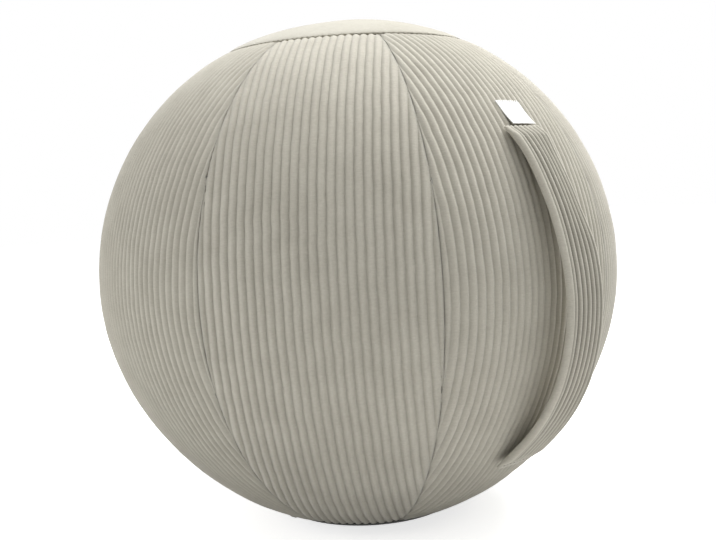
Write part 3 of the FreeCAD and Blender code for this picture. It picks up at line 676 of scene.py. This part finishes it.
def strap_section(size, groove):
    """Points round the strap's section: across, share of the thickness from inside to outside, groove."""
    half, steps, corner, bends, inside = size.width / 2, 8, 0.0034, 12, 10
    face = half - size.border
    pitch = 2 * face / size.ribs
    turns = [math.pi * k / bends for k in range(bends + 1)]
    section = [(-half + corner * (1 - math.sin(turn)), 0.5 - 0.5 * math.cos(turn), 0.0) for turn in turns]
    section += [(-half + corner + (size.border - corner) * k / 4, 1.0, 0.0) for k in (1, 2, 3)]
    for rib in range(size.ribs):
        for step in range(steps + (rib == size.ribs - 1)):
            place = -0.5 * math.cos(math.pi * step / steps)
            deep = 1 - max(1 - (2 * place) ** 2, 0) ** 1.2
            section.append((-face + (rib + 0.5 + place) * pitch, 1.0, deep * groove))
    section += [(half - corner - (size.border - corner) * k / 4, 1.0, 0.0) for k in (3, 2, 1)]
    section += [(half - corner * (1 - math.sin(turn)), 0.5 + 0.5 * math.cos(turn), 0.0) for turn in turns]
    section += [(half - corner - (size.width - 2 * corner) * k / inside, 0.0, 0.0) for k in range(1, inside)]
    return section


class BALLCHAIR_OT_carry_handle(bpy.types.Operator):
    """Ribbed padded strap that stands off the ball, sewn down at both ends"""
    bl_idname = "ballchair.carry_handle"
    bl_label = "Carry handle"

    def execute(self, context):
        size = context.scene.ball_handle
        angles = np.array([a for a, _ in STRAP_PATH])
        radii = np.array([r for _, r in STRAP_PATH]) * MM
        fine = np.linspace(angles[0], angles[-1], 161)
        inner = np.interp(fine, angles, radii)
        kernel = np.hanning(15)
        kernel /= kernel.sum()
        padded = np.concatenate([2 * inner[0] - inner[7:0:-1], inner, 2 * inner[-1] - inner[-2:-9:-1]])
        inner = np.convolve(padded, kernel, "valid")
        points, marks = [], []
        first, last = angles[0], angles[-1]
        for angle, radius in zip(fine, inner):
            turn = math.radians(angle)
            foot = smooth_step((angle - first) / 4.5)
            top = smooth_step((last - angle) / 3.0)
            thickness = size.thickness * (0.5 + 0.5 * min(foot, top))
            groove = size.rib_depth * foot * (0.6 + 0.4 * top)
            tilt = 0.006 * smooth_step((angle - 4) / 10) * smooth_step((last - angle) / 8)
            section = strap_section(size, groove)
            for across, share, drop in section:
                side = across / (size.width / 2)
                base = radius - tilt * max(side, -0.2) * 0.9
                puff = 0.0009 * (1 - side * side) * (share - 0.2)
                distance = base + thickness * share + puff - drop
                floor = math.sqrt(max(cover_radius(turn) ** 2 - across ** 2, 0)) - 0.0006
                distance = max(distance, floor + share * thickness * 0.55)
                points.append(front_point(across, distance, turn))
                # Painted shade: the deeper a channel, the darker its colour, through the 'groove' attribute.
                marks.append(min(drop / max(size.rib_depth, 1e-6), 1.0))
        rows, section_length = len(fine), len(section)
        faces = grid_faces(rows, section_length, closed_columns=True)
        for row, way in ((0, 1), (rows - 1, -1)):
            ring = [row * section_length + j for j in range(section_length)]
            faces.append(tuple(ring[::way]))
        item = mesh_object("velvet_carry_handle", points, faces)
        mark = item.data.attributes.new("groove", "FLOAT", "POINT")
        mark.data.foreach_set("value", marks)
        outward(item)
        piece(item, "ribbed_velvet", MATERIALS["ribbed_velvet"], "carry_handle")
        for name, angle, lift in (("foot", -38.2, 0.0054), ("foot_second", -36.9, 0.0060)):
            turn = math.radians(angle)
            radius = float(np.interp(angle, fine, inner)) + lift
            path = [front_point(x * MM, radius, turn) for x in range(-24, 25, 2)]
            stitches(f"handle_{name}_stitches", path, 0.0050, 0.0032, 0.0005)
        return {"FINISHED"}


# Label

class BALLCHAIR_OT_side_label(bpy.types.Operator):
    """Bare woven label, sewn along its top above the handle"""
    bl_idname = "ballchair.side_label"
    bl_label = "Side label"

    def execute(self, context):
        size, cover = context.scene.ball_handle, context.scene.ball_cover
        rows, columns = 40, 40
        points = []
        for i in range(rows + 1):
            share = i / rows
            angle = size.label_low + (size.label_high - size.label_low) * share
            for j in range(columns + 1):
                lean = 0.0024 * (1 - share)
                across = size.label_shift + size.label_width * (j / columns - 0.5) - 0.0012 + lean
                ripple = 0.0002 * math.sin(across / cover.rib_pitch * math.tau)
                lift = 0.0010 + 0.0034 * (1 - share) ** 3 + ripple
                radius = math.sqrt(cover_radius(angle) ** 2 - across ** 2) + lift
                points.append(front_point(across, radius, angle))
        item = mesh_object("woven_side_label", points, grid_faces(rows + 1, columns + 1))
        outward(item)
        flip_if_inward(item)
        thicken(item, 0.0008)
        piece(item, "woven_label", MATERIALS["woven_label"], "side_label")
        angle = size.label_high - 0.004
        radius = cover_radius(angle) + 0.0011
        path = [front_point(size.label_shift + x * MM, radius, angle) for x in range(-16, 17, 2)]
        stitches("label_stitches", path, 0.0034, 0.0022, 0.0004)
        return {"FINISHED"}


def flip_if_inward(item):
    """Points an open skin's faces away from the ball's centre."""
    mesh = item.data
    face = mesh.polygons[len(mesh.polygons) // 2]
    centre = Vector((0, 0, bpy.context.scene.ball_cover.centre_height))
    if face.normal.dot(face.center - centre) < 0:
        mesh.flip_normals()


# Base, zip and floor ring

class BallBase(bpy.types.PropertyGroup):
    """Sizes of the base, the zip and what lies inside."""
    flat_radius: length("Flat radius", "Face that rests on the floor", 0.0828)
    dot_pitch: length("Dot pitch", "One dot to the next", 0.0075)
    dot_height: length("Dot height", "Dots below the cloth", 0.0006)
    zip_radius: length("Zip radius", "Centre line of the zip", 0.118)
    half_band: length("Half band", "Centre line of the zip to the cloth", 0.007)
    tape_sweep: bpy.props.FloatProperty(
        name="Tape sweep", description="Zip tape round the back", default=math.radians(179.6),
        subtype="ANGLE")
    coil_sweep: bpy.props.FloatProperty(
        name="Coil sweep", description="Coiled length of the zip", default=math.radians(166), subtype="ANGLE")
    coil_pitch: length("Coil pitch", "One turn of a coil to the next", 0.0014)
    wire_radius: length("Wire radius", "Coil wire", 0.00036)
    ring_inner: length("Ring inside", "Inner radius of the floor ring", 0.070)
    ring_outer: length("Ring outside", "Outer radius of the floor ring", 0.106)
    slack: length("Slack", "Inflated ball below the cover's crests", 0.0072)


def flank(along, out):
    """Reach and height of a point by the zip: up the flank from its centre line and out from the flank."""
    size, cover = bpy.context.scene.ball_base, bpy.context.scene.ball_cover
    inward = size.zip_radius - (cover.ball_radius - cover.bottom_drop)
    fall = math.sqrt(cover.bottom_drop ** 2 - inward ** 2)
    co, si = fall / cover.bottom_drop, inward / cover.bottom_drop
    return size.zip_radius + along * co + out * si, cover.centre_height - fall + along * si - out * co


def turned_skin(name, profile, around, start=0.0, sweep=math.tau):
    """A skin from a profile of reach and height carried round the upright axis."""
    whole = sweep == math.tau
    points = []
    for reach, height in profile:
        for j in range(around + (not whole)):
            turn = start + sweep * j / around
            points.append((reach * math.cos(turn), reach * math.sin(turn), height))
    return mesh_object(name, points, grid_faces(len(profile), around + (not whole), closed_columns=whole))


def join(target, other):
    """Adds the mesh of another object to one object and removes the other."""
    work = bmesh.new()
    work.from_mesh(target.data)
    work.from_mesh(other.data)
    work.to_mesh(target.data)
    work.free()
    bpy.data.objects.remove(other)


def dot_tree():
    """Flattened dots in staggered rows inside a circle."""
    tree, known = new_geometry_tree("dot_field", [
        ("Field", "Float"), ("Pitch", "Float"), ("Dot Radius", "Float"), ("Dot Height", "Float"),
        ("Count", "Int")])
    work_out(tree, known, [
        ("row pitch", "MULTIPLY", "Pitch", math.sqrt(0.75)),
        ("gaps", "SUBTRACT", "Count", 1.0),
        ("wide", "MULTIPLY", "gaps", "Pitch"),
        ("deep", "MULTIPLY", "gaps", "row pitch"),
    ])
    grid = add_node(tree, "GeometryNodeMeshGrid", {
        "Size X": known["wide"], "Size Y": known["deep"], "Vertices X": known["Count"],
        "Vertices Y": known["Count"]})
    place = add_node(tree, "ShaderNodeSeparateXYZ", [add_node(tree, "GeometryNodeInputPosition").outputs[0]])
    known.update({"X": place.outputs[0], "Y": place.outputs[1]})
    work_out(tree, known, [
        ("row raw", "DIVIDE", "Y", "row pitch"),
        ("row", "ROUND", "row raw"),
        ("odd", "FLOORED_MODULO", "row", 2.0),
        ("stagger", "MULTIPLY", "odd", 0.5),
        ("x staggered", "MULTIPLY_ADD", "stagger", "Pitch", "X"),
        ("x square", "MULTIPLY", "x staggered", "x staggered"),
        ("reach square", "MULTIPLY_ADD", "Y", "Y", "x square"),
        ("reach", "SQRT", "reach square"),
        ("outside", "GREATER_THAN", "reach", "Field"),
    ])
    spot = add_node(tree, "ShaderNodeCombineXYZ", [known["x staggered"], known["Y"], known["Dot Height"]])
    # What falls outside goes before the rows are staggered, because both read the grid's own places.
    cut = add_node(tree, "GeometryNodeDeleteGeometry", {
        "Geometry": grid.outputs[0], "Selection": known["outside"]})
    moved = add_node(tree, "GeometryNodeSetPosition", {
        "Geometry": cut.outputs[0], "Position": spot.outputs[0]})
    dot = add_node(tree, "GeometryNodeMeshUVSphere", {"Segments": 12, "Rings": 4, "Radius": 1.0})
    scale = add_node(tree, "ShaderNodeCombineXYZ", [
        known["Dot Radius"], known["Dot Radius"], known["Dot Height"]])
    rows = add_node(tree, "GeometryNodeInstanceOnPoints", {
        "Points": moved.outputs[0], "Instance": dot.outputs[0], "Scale": scale.outputs[0]})
    close_tree(tree, rows.outputs[0], MATERIALS["base_dots"])
    return tree


class BALLCHAIR_OT_base(bpy.types.Operator):
    """Dark non-slip base cloth with staggered rubber dots"""
    bl_idname = "ballchair.base"
    bl_label = "Base"

    def execute(self, context):
        size = context.scene.ball_base
        up = size.dot_height
        rim, edge = flank(-size.half_band, -0.0006), flank(size.half_band - 0.0008, -0.0030)
        share = [0.0004 / size.flat_radius] + [k / 12 for k in range(1, 12)]
        profile = [(size.flat_radius * k, up) for k in share]
        for k in range(9):
            t = k / 8
            bend = (1 - t) * t * 0.0016
            reach = size.flat_radius + (rim[0] - size.flat_radius) * t
            profile.append((reach, up + (rim[1] - up) * t - bend))
        item = turned_skin("canvas_base", profile, 192)
        front = [(rim[0] + (edge[0] - rim[0]) * t, rim[1] + (edge[1] - rim[1]) * t)
                 for t in (0, 0.25, 0.6, 1)]
        flap = turned_skin("canvas_front", front, 96, math.pi, math.pi)
        join(item, flap)
        close_middle(item)
        outward(item)
        aim(item, Vector((0, 0, -1)))
        thicken(item, 0.0022)
        piece(item, "base_cloth", MATERIALS["base_cloth"], "base_disc")
        dots = grow("base_dots", dot_tree(), {
            "Field": size.flat_radius - 0.002, "Pitch": size.dot_pitch, "Dot Radius": 0.0017,
            "Dot Height": up, "Count": 25})
        piece(dots, "base_cloth", MATERIALS["base_dots"])
        return {"FINISHED"}


def close_middle(item):
    """Fills the small hole where a turned skin meets its axis."""
    work = bmesh.new()
    work.from_mesh(item.data)
    bmesh.ops.remove_doubles(work, verts=work.verts, dist=1e-6)
    rim = [e for e in work.edges if e.is_boundary and all(v.co.xy.length < 0.001 for v in e.verts)]
    bmesh.ops.holes_fill(work, edges=rim, sides=0)
    work.to_mesh(item.data)
    work.free()


def aim(item, way):
    """Points an open skin's faces one way."""
    mesh = item.data
    total = sum((p.normal * p.area for p in mesh.polygons), Vector())
    if total.dot(way) < 0:
        mesh.flip_normals()


def coil_tree():
    """One nylon coil: a wire wound along an arc by the zip's flank."""
    tree, known = new_geometry_tree("zip_coil_wire", [
        ("Sweep", "Float"), ("Turns", "Float"), ("Points", "Int"), ("Reach", "Float"), ("Height", "Float"),
        ("Flank Cos", "Float"), ("Flank Sin", "Float"), ("Across", "Float"), ("Out", "Float"),
        ("Wire", "Float")])
    line = add_node(tree, "GeometryNodeMeshLine", {"Count": known["Points"]})
    known["index"] = add_node(tree, "GeometryNodeInputIndex").outputs[0]
    work_out(tree, known, [
        ("last", "SUBTRACT", "Points", 1.0),
        ("share", "DIVIDE", "index", "last"),
        ("middle", "SUBTRACT", "share", 0.5),
        ("arc", "MULTIPLY_ADD", "middle", "Sweep", math.pi / 2),
        ("wind", "MULTIPLY", "share", "Turns"),
        ("turn", "MULTIPLY", "wind", math.tau),
        ("c", "COSINE", "turn"),
        ("s", "SINE", "turn"),
        ("a", "MULTIPLY", "c", "Across"),
        ("o", "MULTIPLY", "s", "Out"),
        ("r1", "MULTIPLY_ADD", "a", "Flank Cos", "Reach"),
        ("reach", "MULTIPLY_ADD", "o", "Flank Sin", "r1"),
        ("z1", "MULTIPLY_ADD", "a", "Flank Sin", "Height"),
        ("z2", "MULTIPLY", "o", "Flank Cos"),
        ("z", "SUBTRACT", "z1", "z2"),
        ("arc cos", "COSINE", "arc"),
        ("arc sin", "SINE", "arc"),
        ("x", "MULTIPLY", "reach", "arc cos"),
        ("y", "MULTIPLY", "reach", "arc sin"),
    ])
    spot = add_node(tree, "ShaderNodeCombineXYZ", [known["x"], known["y"], known["z"]])
    moved = add_node(tree, "GeometryNodeSetPosition", {
        "Geometry": line.outputs[0], "Position": spot.outputs[0]})
    path = add_node(tree, "GeometryNodeMeshToCurve", [moved.outputs[0]])
    ring = add_node(tree, "GeometryNodeCurvePrimitiveCircle", {"Resolution": 5, "Radius": known["Wire"]})
    wire = add_node(tree, "GeometryNodeCurveToMesh", {
        "Curve": path.outputs[0], "Profile Curve": ring.outputs[0], "Fill Caps": True})
    close_tree(tree, wire.outputs[0], MATERIALS["zip_coil"])
    return tree


class BALLCHAIR_OT_zip(bpy.types.Operator):
    """Zip tapes, nylon coils, slider, pull and stops"""
    bl_idname = "ballchair.zip"
    bl_label = "Zip"

    def execute(self, context):
        size, cover = context.scene.ball_base, context.scene.ball_cover
        tree = coil_tree()
        inward = size.zip_radius - (cover.ball_radius - cover.bottom_drop)
        sine = inward / cover.bottom_drop
        turns = size.coil_sweep * size.zip_radius / size.coil_pitch
        for level, side in (("upper", 1), ("lower", -1)):
            near, far = 0.0037 * side, (size.half_band - 0.0001) * side
            profile = [flank(near + (far - near) * k / 6, 0.00035) for k in range(7)]
            start = (math.pi - size.tape_sweep) / 2
            tape = turned_skin(f"tape_{level}", profile, 160, start, size.tape_sweep)
            outward(tape)
            aim(tape, Vector((0, 0, -1)))
            thicken(tape, 0.0007)
            piece(tape, "zip_tape", MATERIALS["zip_tape"], f"zip_tape_{level}")
            reach, height = flank(0.0021 * side, 0)
            coil = grow(f"coil_{level}", tree, {
                "Sweep": size.coil_sweep, "Turns": float(int(turns)), "Points": int(turns) * 10 + 1,
                "Reach": reach, "Height": height, "Flank Cos": math.sqrt(1 - sine ** 2), "Flank Sin": sine,
                "Across": 0.0013 - size.wire_radius, "Out": 0.0013 - size.wire_radius,
                "Wire": size.wire_radius})
            piece(coil, "zip_coil", MATERIALS["zip_coil"], f"zip_coil_{level}")
        for node in ("zip_slider", "zip_pull", "zip_stop_start", "zip_stop_end"):
            paint(node, "zip_metal")
        return {"FINISHED"}


def paint(node, slot):
    """Gives a solid of the frame its finish."""
    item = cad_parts[node]
    item.data.materials.clear()
    item.data.materials.append(MATERIALS[slot])


def stuff(item, pressure, furthest):
    """Inflates a closed form as stuffed cloth; no point moves further than asked."""
    start = np.array([v.co for v in item.data.vertices])
    cloth = item.modifiers.new("stuffing", "CLOTH")
    cloth.settings.quality = 4
    cloth.settings.mass = 0.2
    cloth.settings.use_pressure = True
    cloth.settings.uniform_pressure_force = pressure
    cloth.settings.effector_weights.gravity = 0
    scene = bpy.context.scene
    for number in range(1, 21):
        scene.frame_set(number)
    mesh = bpy.data.meshes.new_from_object(item.evaluated_get(bpy.context.evaluated_depsgraph_get()))
    scene.frame_set(1)
    moved = np.array([v.co for v in mesh.vertices]) - start
    distance = np.maximum(np.linalg.norm(moved, axis=1, keepdims=True), 1e-9)
    moved *= np.minimum(distance, furthest) / distance
    item.modifiers.clear()
    for vertex, spot in zip(item.data.vertices, start + moved):
        vertex.co = spot
    item.data.update()


def valve_flat(spot):
    """Presses a point of the ball down to the flat in which the valve sits."""
    proud = (spot - VALVE_SEAT).dot(VALVE_OUT)
    side = (spot - VALVE_SEAT - VALVE_OUT * proud).length
    if proud > -0.0006 and side < 0.06:
        spot -= VALVE_OUT * (proud + 0.0006) * (1 - smooth_step((side - 0.022) / 0.036))
    return spot


class BALLCHAIR_OT_inside(bpy.types.Operator):
    """Inflated ball, valve and stuffed floor ring"""
    bl_idname = "ballchair.inside"
    bl_label = "Inside"

    def execute(self, context):
        size, cover = context.scene.ball_base, context.scene.ball_cover
        self.make_ring(size, cover)
        self.make_ball(size, cover)
        paint("valve_seat", "ball_skin")
        paint("valve_plug", "plug_plastic")
        return {"FINISHED"}

    def make_ring(self, size, cover):
        """Stuffed ring between the base and the inflated ball."""
        middle = (size.ring_inner + size.ring_outer) / 2
        half = (size.ring_outer - size.ring_inner) / 2 - 0.002
        around, rows, points = 180, 20, []
        for i in range(rows):
            turn = math.tau * i / rows
            reach = middle + half * math.cos(turn)
            run = reach - (cover.ball_radius - cover.bottom_drop) - 0.0057
            fall = math.sqrt((cover.centre_height - BALL_FOOT) ** 2 - run ** 2)
            ceiling = cover.centre_height - fall - 0.0012
            ground = 0.0042 + max(reach - size.flat_radius, 0) * 0.31
            height = ground + (ceiling - ground) * (0.5 + 0.5 * math.sin(turn))
            points += ring_points(reach, height, around)
        item = mesh_object("stuffed_floor_ring", points, grid_faces(rows, around, True, True))
        outward(item)
        stuff(item, 2.0, 0.0008)
        piece(item, "ring_cloth", MATERIALS["ring_cloth"], "floor_ring")

    def make_ball(self, size, cover):
        """Inflated ball with moulded rings, flat where its valve sits."""
        rows, around, points = 120, 144, []
        radius, top = cover.ball_radius - size.slack, cover.top_rise - size.slack
        foot = cover.centre_height - BALL_FOOT
        for i in range(1, rows):
            turn = math.pi * (i / rows - 0.5)
            rise = top if turn > 0 else foot
            ridge = 0.0004 * math.cos(turn * 100)
            inset = rise - 0.0008 + ridge
            reach, height = radius - rise + inset * math.cos(turn), inset * math.sin(turn)
            points += ring_points(reach, cover.centre_height + height, around)
        ends = [(0, 0, BALL_FOOT), (0, 0, cover.centre_height + top)]
        faces = grid_faces(rows - 1, around, closed_columns=True)
        low, high = len(points), len(points) + 1
        last = (rows - 2) * around
        faces += [(low, (j + 1) % around, j) for j in range(around)]
        faces += [(last + j, last + (j + 1) % around, high) for j in range(around)]
        item = mesh_object("inflated_ball", [valve_flat(Vector(point)) for point in points + ends], faces)
        outward(item)
        piece(item, "ball_skin", MATERIALS["ball_skin"], "inner_ball")


# Stage

class BallColours(bpy.types.PropertyGroup):
    """Colours, as sRGB hex."""
    velvet: bpy.props.StringProperty(name="Velvet", description="Pile, lit", default="C6C2B5")
    velvet_shade: bpy.props.StringProperty(
        name="Velvet shade", description="Pile, laid over", default="ACA79A")
    # The cap's colours sit below the pile's: painted shade on the top, under the strong overhead light.
    cap: bpy.props.StringProperty(name="Cap", description="Plain velvet, lit", default="BFBBAE")
    cap_shade: bpy.props.StringProperty(
        name="Cap shade", description="Plain velvet, laid over", default="AAA698")
    label: bpy.props.StringProperty(name="Label", description="Label cloth", default="F4F4F2")
    base: bpy.props.StringProperty(name="Base", description="Base cloth", default="33332F")
    thread: bpy.props.StringProperty(name="Thread", description="Sewing thread", default="A39F92")


def direction(azimuth, elevation):
    """Unit vector out from the object, by degrees round from -Y and degrees up."""
    side, rise = math.radians(azimuth), math.radians(elevation)
    return Vector((math.sin(side) * math.cos(rise), -math.cos(side) * math.cos(rise), math.sin(rise)))


def seen_directly(tree):
    """1 for rays that the camera sees straight, mirrored or through a clear piece, 0 for lighting rays."""
    rays = add_node(tree, "ShaderNodeLightPath")
    terms = {name: rays.outputs[f"Is {name} Ray"] for name in ("Camera", "Glossy", "Transmission")}
    return work_out(tree, terms, [
        ("either", "MAXIMUM", "Camera", "Glossy"), ("seen", "MAXIMUM", "either", "Transmission")])


class BALLCHAIR_OT_stage(bpy.types.Operator):
    """Pale floor, soft lamps and the camera"""
    bl_idname = "ballchair.stage"
    bl_label = "Stage"

    def execute(self, context):
        scene, cover = context.scene, context.scene.ball_cover
        scene.view_settings.view_transform = "Standard"
        floor = mesh_object("floor", [(-8, -8, 0), (8, -8, 0), (8, 8, 0), (-8, 8, 0)], [(0, 1, 2, 3)], False)
        material, tree, shader = new_material("matt_white_sweep")
        tree.nodes.remove(shader)
        light = work_out(tree, seen_directly(tree), [("glow", "MULTIPLY", "seen", FLOOR_GLOW)])
        matt = add_node(tree, "ShaderNodeBsdfDiffuse", {"Color": FLOOR_WHITE})
        glow = add_node(tree, "ShaderNodeEmission", {"Color": (1, 1, 1, 1), "Strength": light["glow"]})
        both = add_node(tree, "ShaderNodeAddShader", [matt.outputs[0], glow.outputs[0]])
        output = [n for n in tree.nodes if n.type == "OUTPUT_MATERIAL"][0]
        tree.links.new(both.outputs[0], output.inputs[0])
        floor.data.materials.append(material)

        world = bpy.data.worlds.new("studio")
        scene.world = world
        world.use_nodes = True
        tree = world.node_tree
        sky = tree.nodes["Background"]
        light = work_out(tree, seen_directly(tree), [
            ("more", "MULTIPLY", "seen", 1 - WORLD_LEVEL), ("level", "ADD", "more", WORLD_LEVEL)])
        sky.inputs["Color"].default_value = (1, 1, 1, 1)
        tree.links.new(light["level"], sky.inputs["Strength"])

        target = Vector((0, 0, cover.centre_height))
        for name, side, rise, distance, width, power in LAMPS:
            spot = target + direction(CAMERA_AZIMUTH + side, rise) * distance
            data = bpy.data.lights.new(name, "AREA")
            data.shape = "DISK"
            data.size = width
            data.energy = power
            lamp = bpy.data.objects.new(name, data)
            scene.collection.objects.link(lamp)
            lamp.location = spot
            lamp.rotation_mode = "QUATERNION"
            lamp.rotation_quaternion = (target - spot).to_track_quat("-Z", "Y")

        data = bpy.data.cameras.new("camera")
        data.sensor_width = 36.0
        data.lens = LENS_PIXELS / IMAGE_WIDTH * data.sensor_width
        camera = bpy.data.objects.new("camera", data)
        scene.collection.objects.link(camera)
        back = direction(CAMERA_AZIMUTH, CAMERA_ELEVATION)
        camera.location = target + back * CAMERA_DISTANCE
        roll = Matrix.Rotation(math.radians(CAMERA_ROLL), 3, "Z")
        look = (-back).to_track_quat("-Z", "Y").to_matrix() @ roll
        camera.rotation_euler = look.to_euler()
        scene.camera = camera
        return {"FINISHED"}


class BALLCHAIR_PT_panel(bpy.types.Panel):
    """Lists the sizes, the colours and the steps"""
    bl_idname = "BALLCHAIR_PT_panel"
    bl_label = "Ball Chair"
    bl_space_type = "VIEW_3D"
    bl_region_type = "UI"
    bl_category = "Ball Chair"

    def draw(self, context):
        for group in (getattr(context.scene, name) for name in GROUPS):
            box = self.layout.box()
            for name in group.bl_rna.properties.keys():
                if name not in ("rna_type", "name"):
                    box.prop(group, name)
        for step in OPERATORS:
            self.layout.operator(step.bl_idname)


GROUPS = {
    "ball_cover": BallCover, "ball_handle": BallHandle, "ball_base": BallBase, "ball_colours": BallColours,
}
OPERATORS = [
    BALLCHAIR_OT_stage, BALLCHAIR_OT_cover_panels, BALLCHAIR_OT_top_cap, BALLCHAIR_OT_carry_handle,
    BALLCHAIR_OT_side_label, BALLCHAIR_OT_base, BALLCHAIR_OT_zip, BALLCHAIR_OT_inside,
]
MATERIALS = {}


def register():
    for item in [*GROUPS.values(), *OPERATORS, BALLCHAIR_PT_panel]:
        bpy.utils.register_class(item)
    for name, group in GROUPS.items():
        setattr(bpy.types.Scene, name, bpy.props.PointerProperty(type=group))


def unregister():
    for name in GROUPS:
        delattr(bpy.types.Scene, name)
    for item in [BALLCHAIR_PT_panel, *reversed(OPERATORS), *reversed(list(GROUPS.values()))]:
        bpy.utils.unregister_class(item)


def main():
    register()
    MATERIALS.update(make_materials())
    for step in OPERATORS:
        group, name = step.bl_idname.split(".")
        getattr(getattr(bpy.ops, group), name)()


if __name__ == "__main__":
    main()
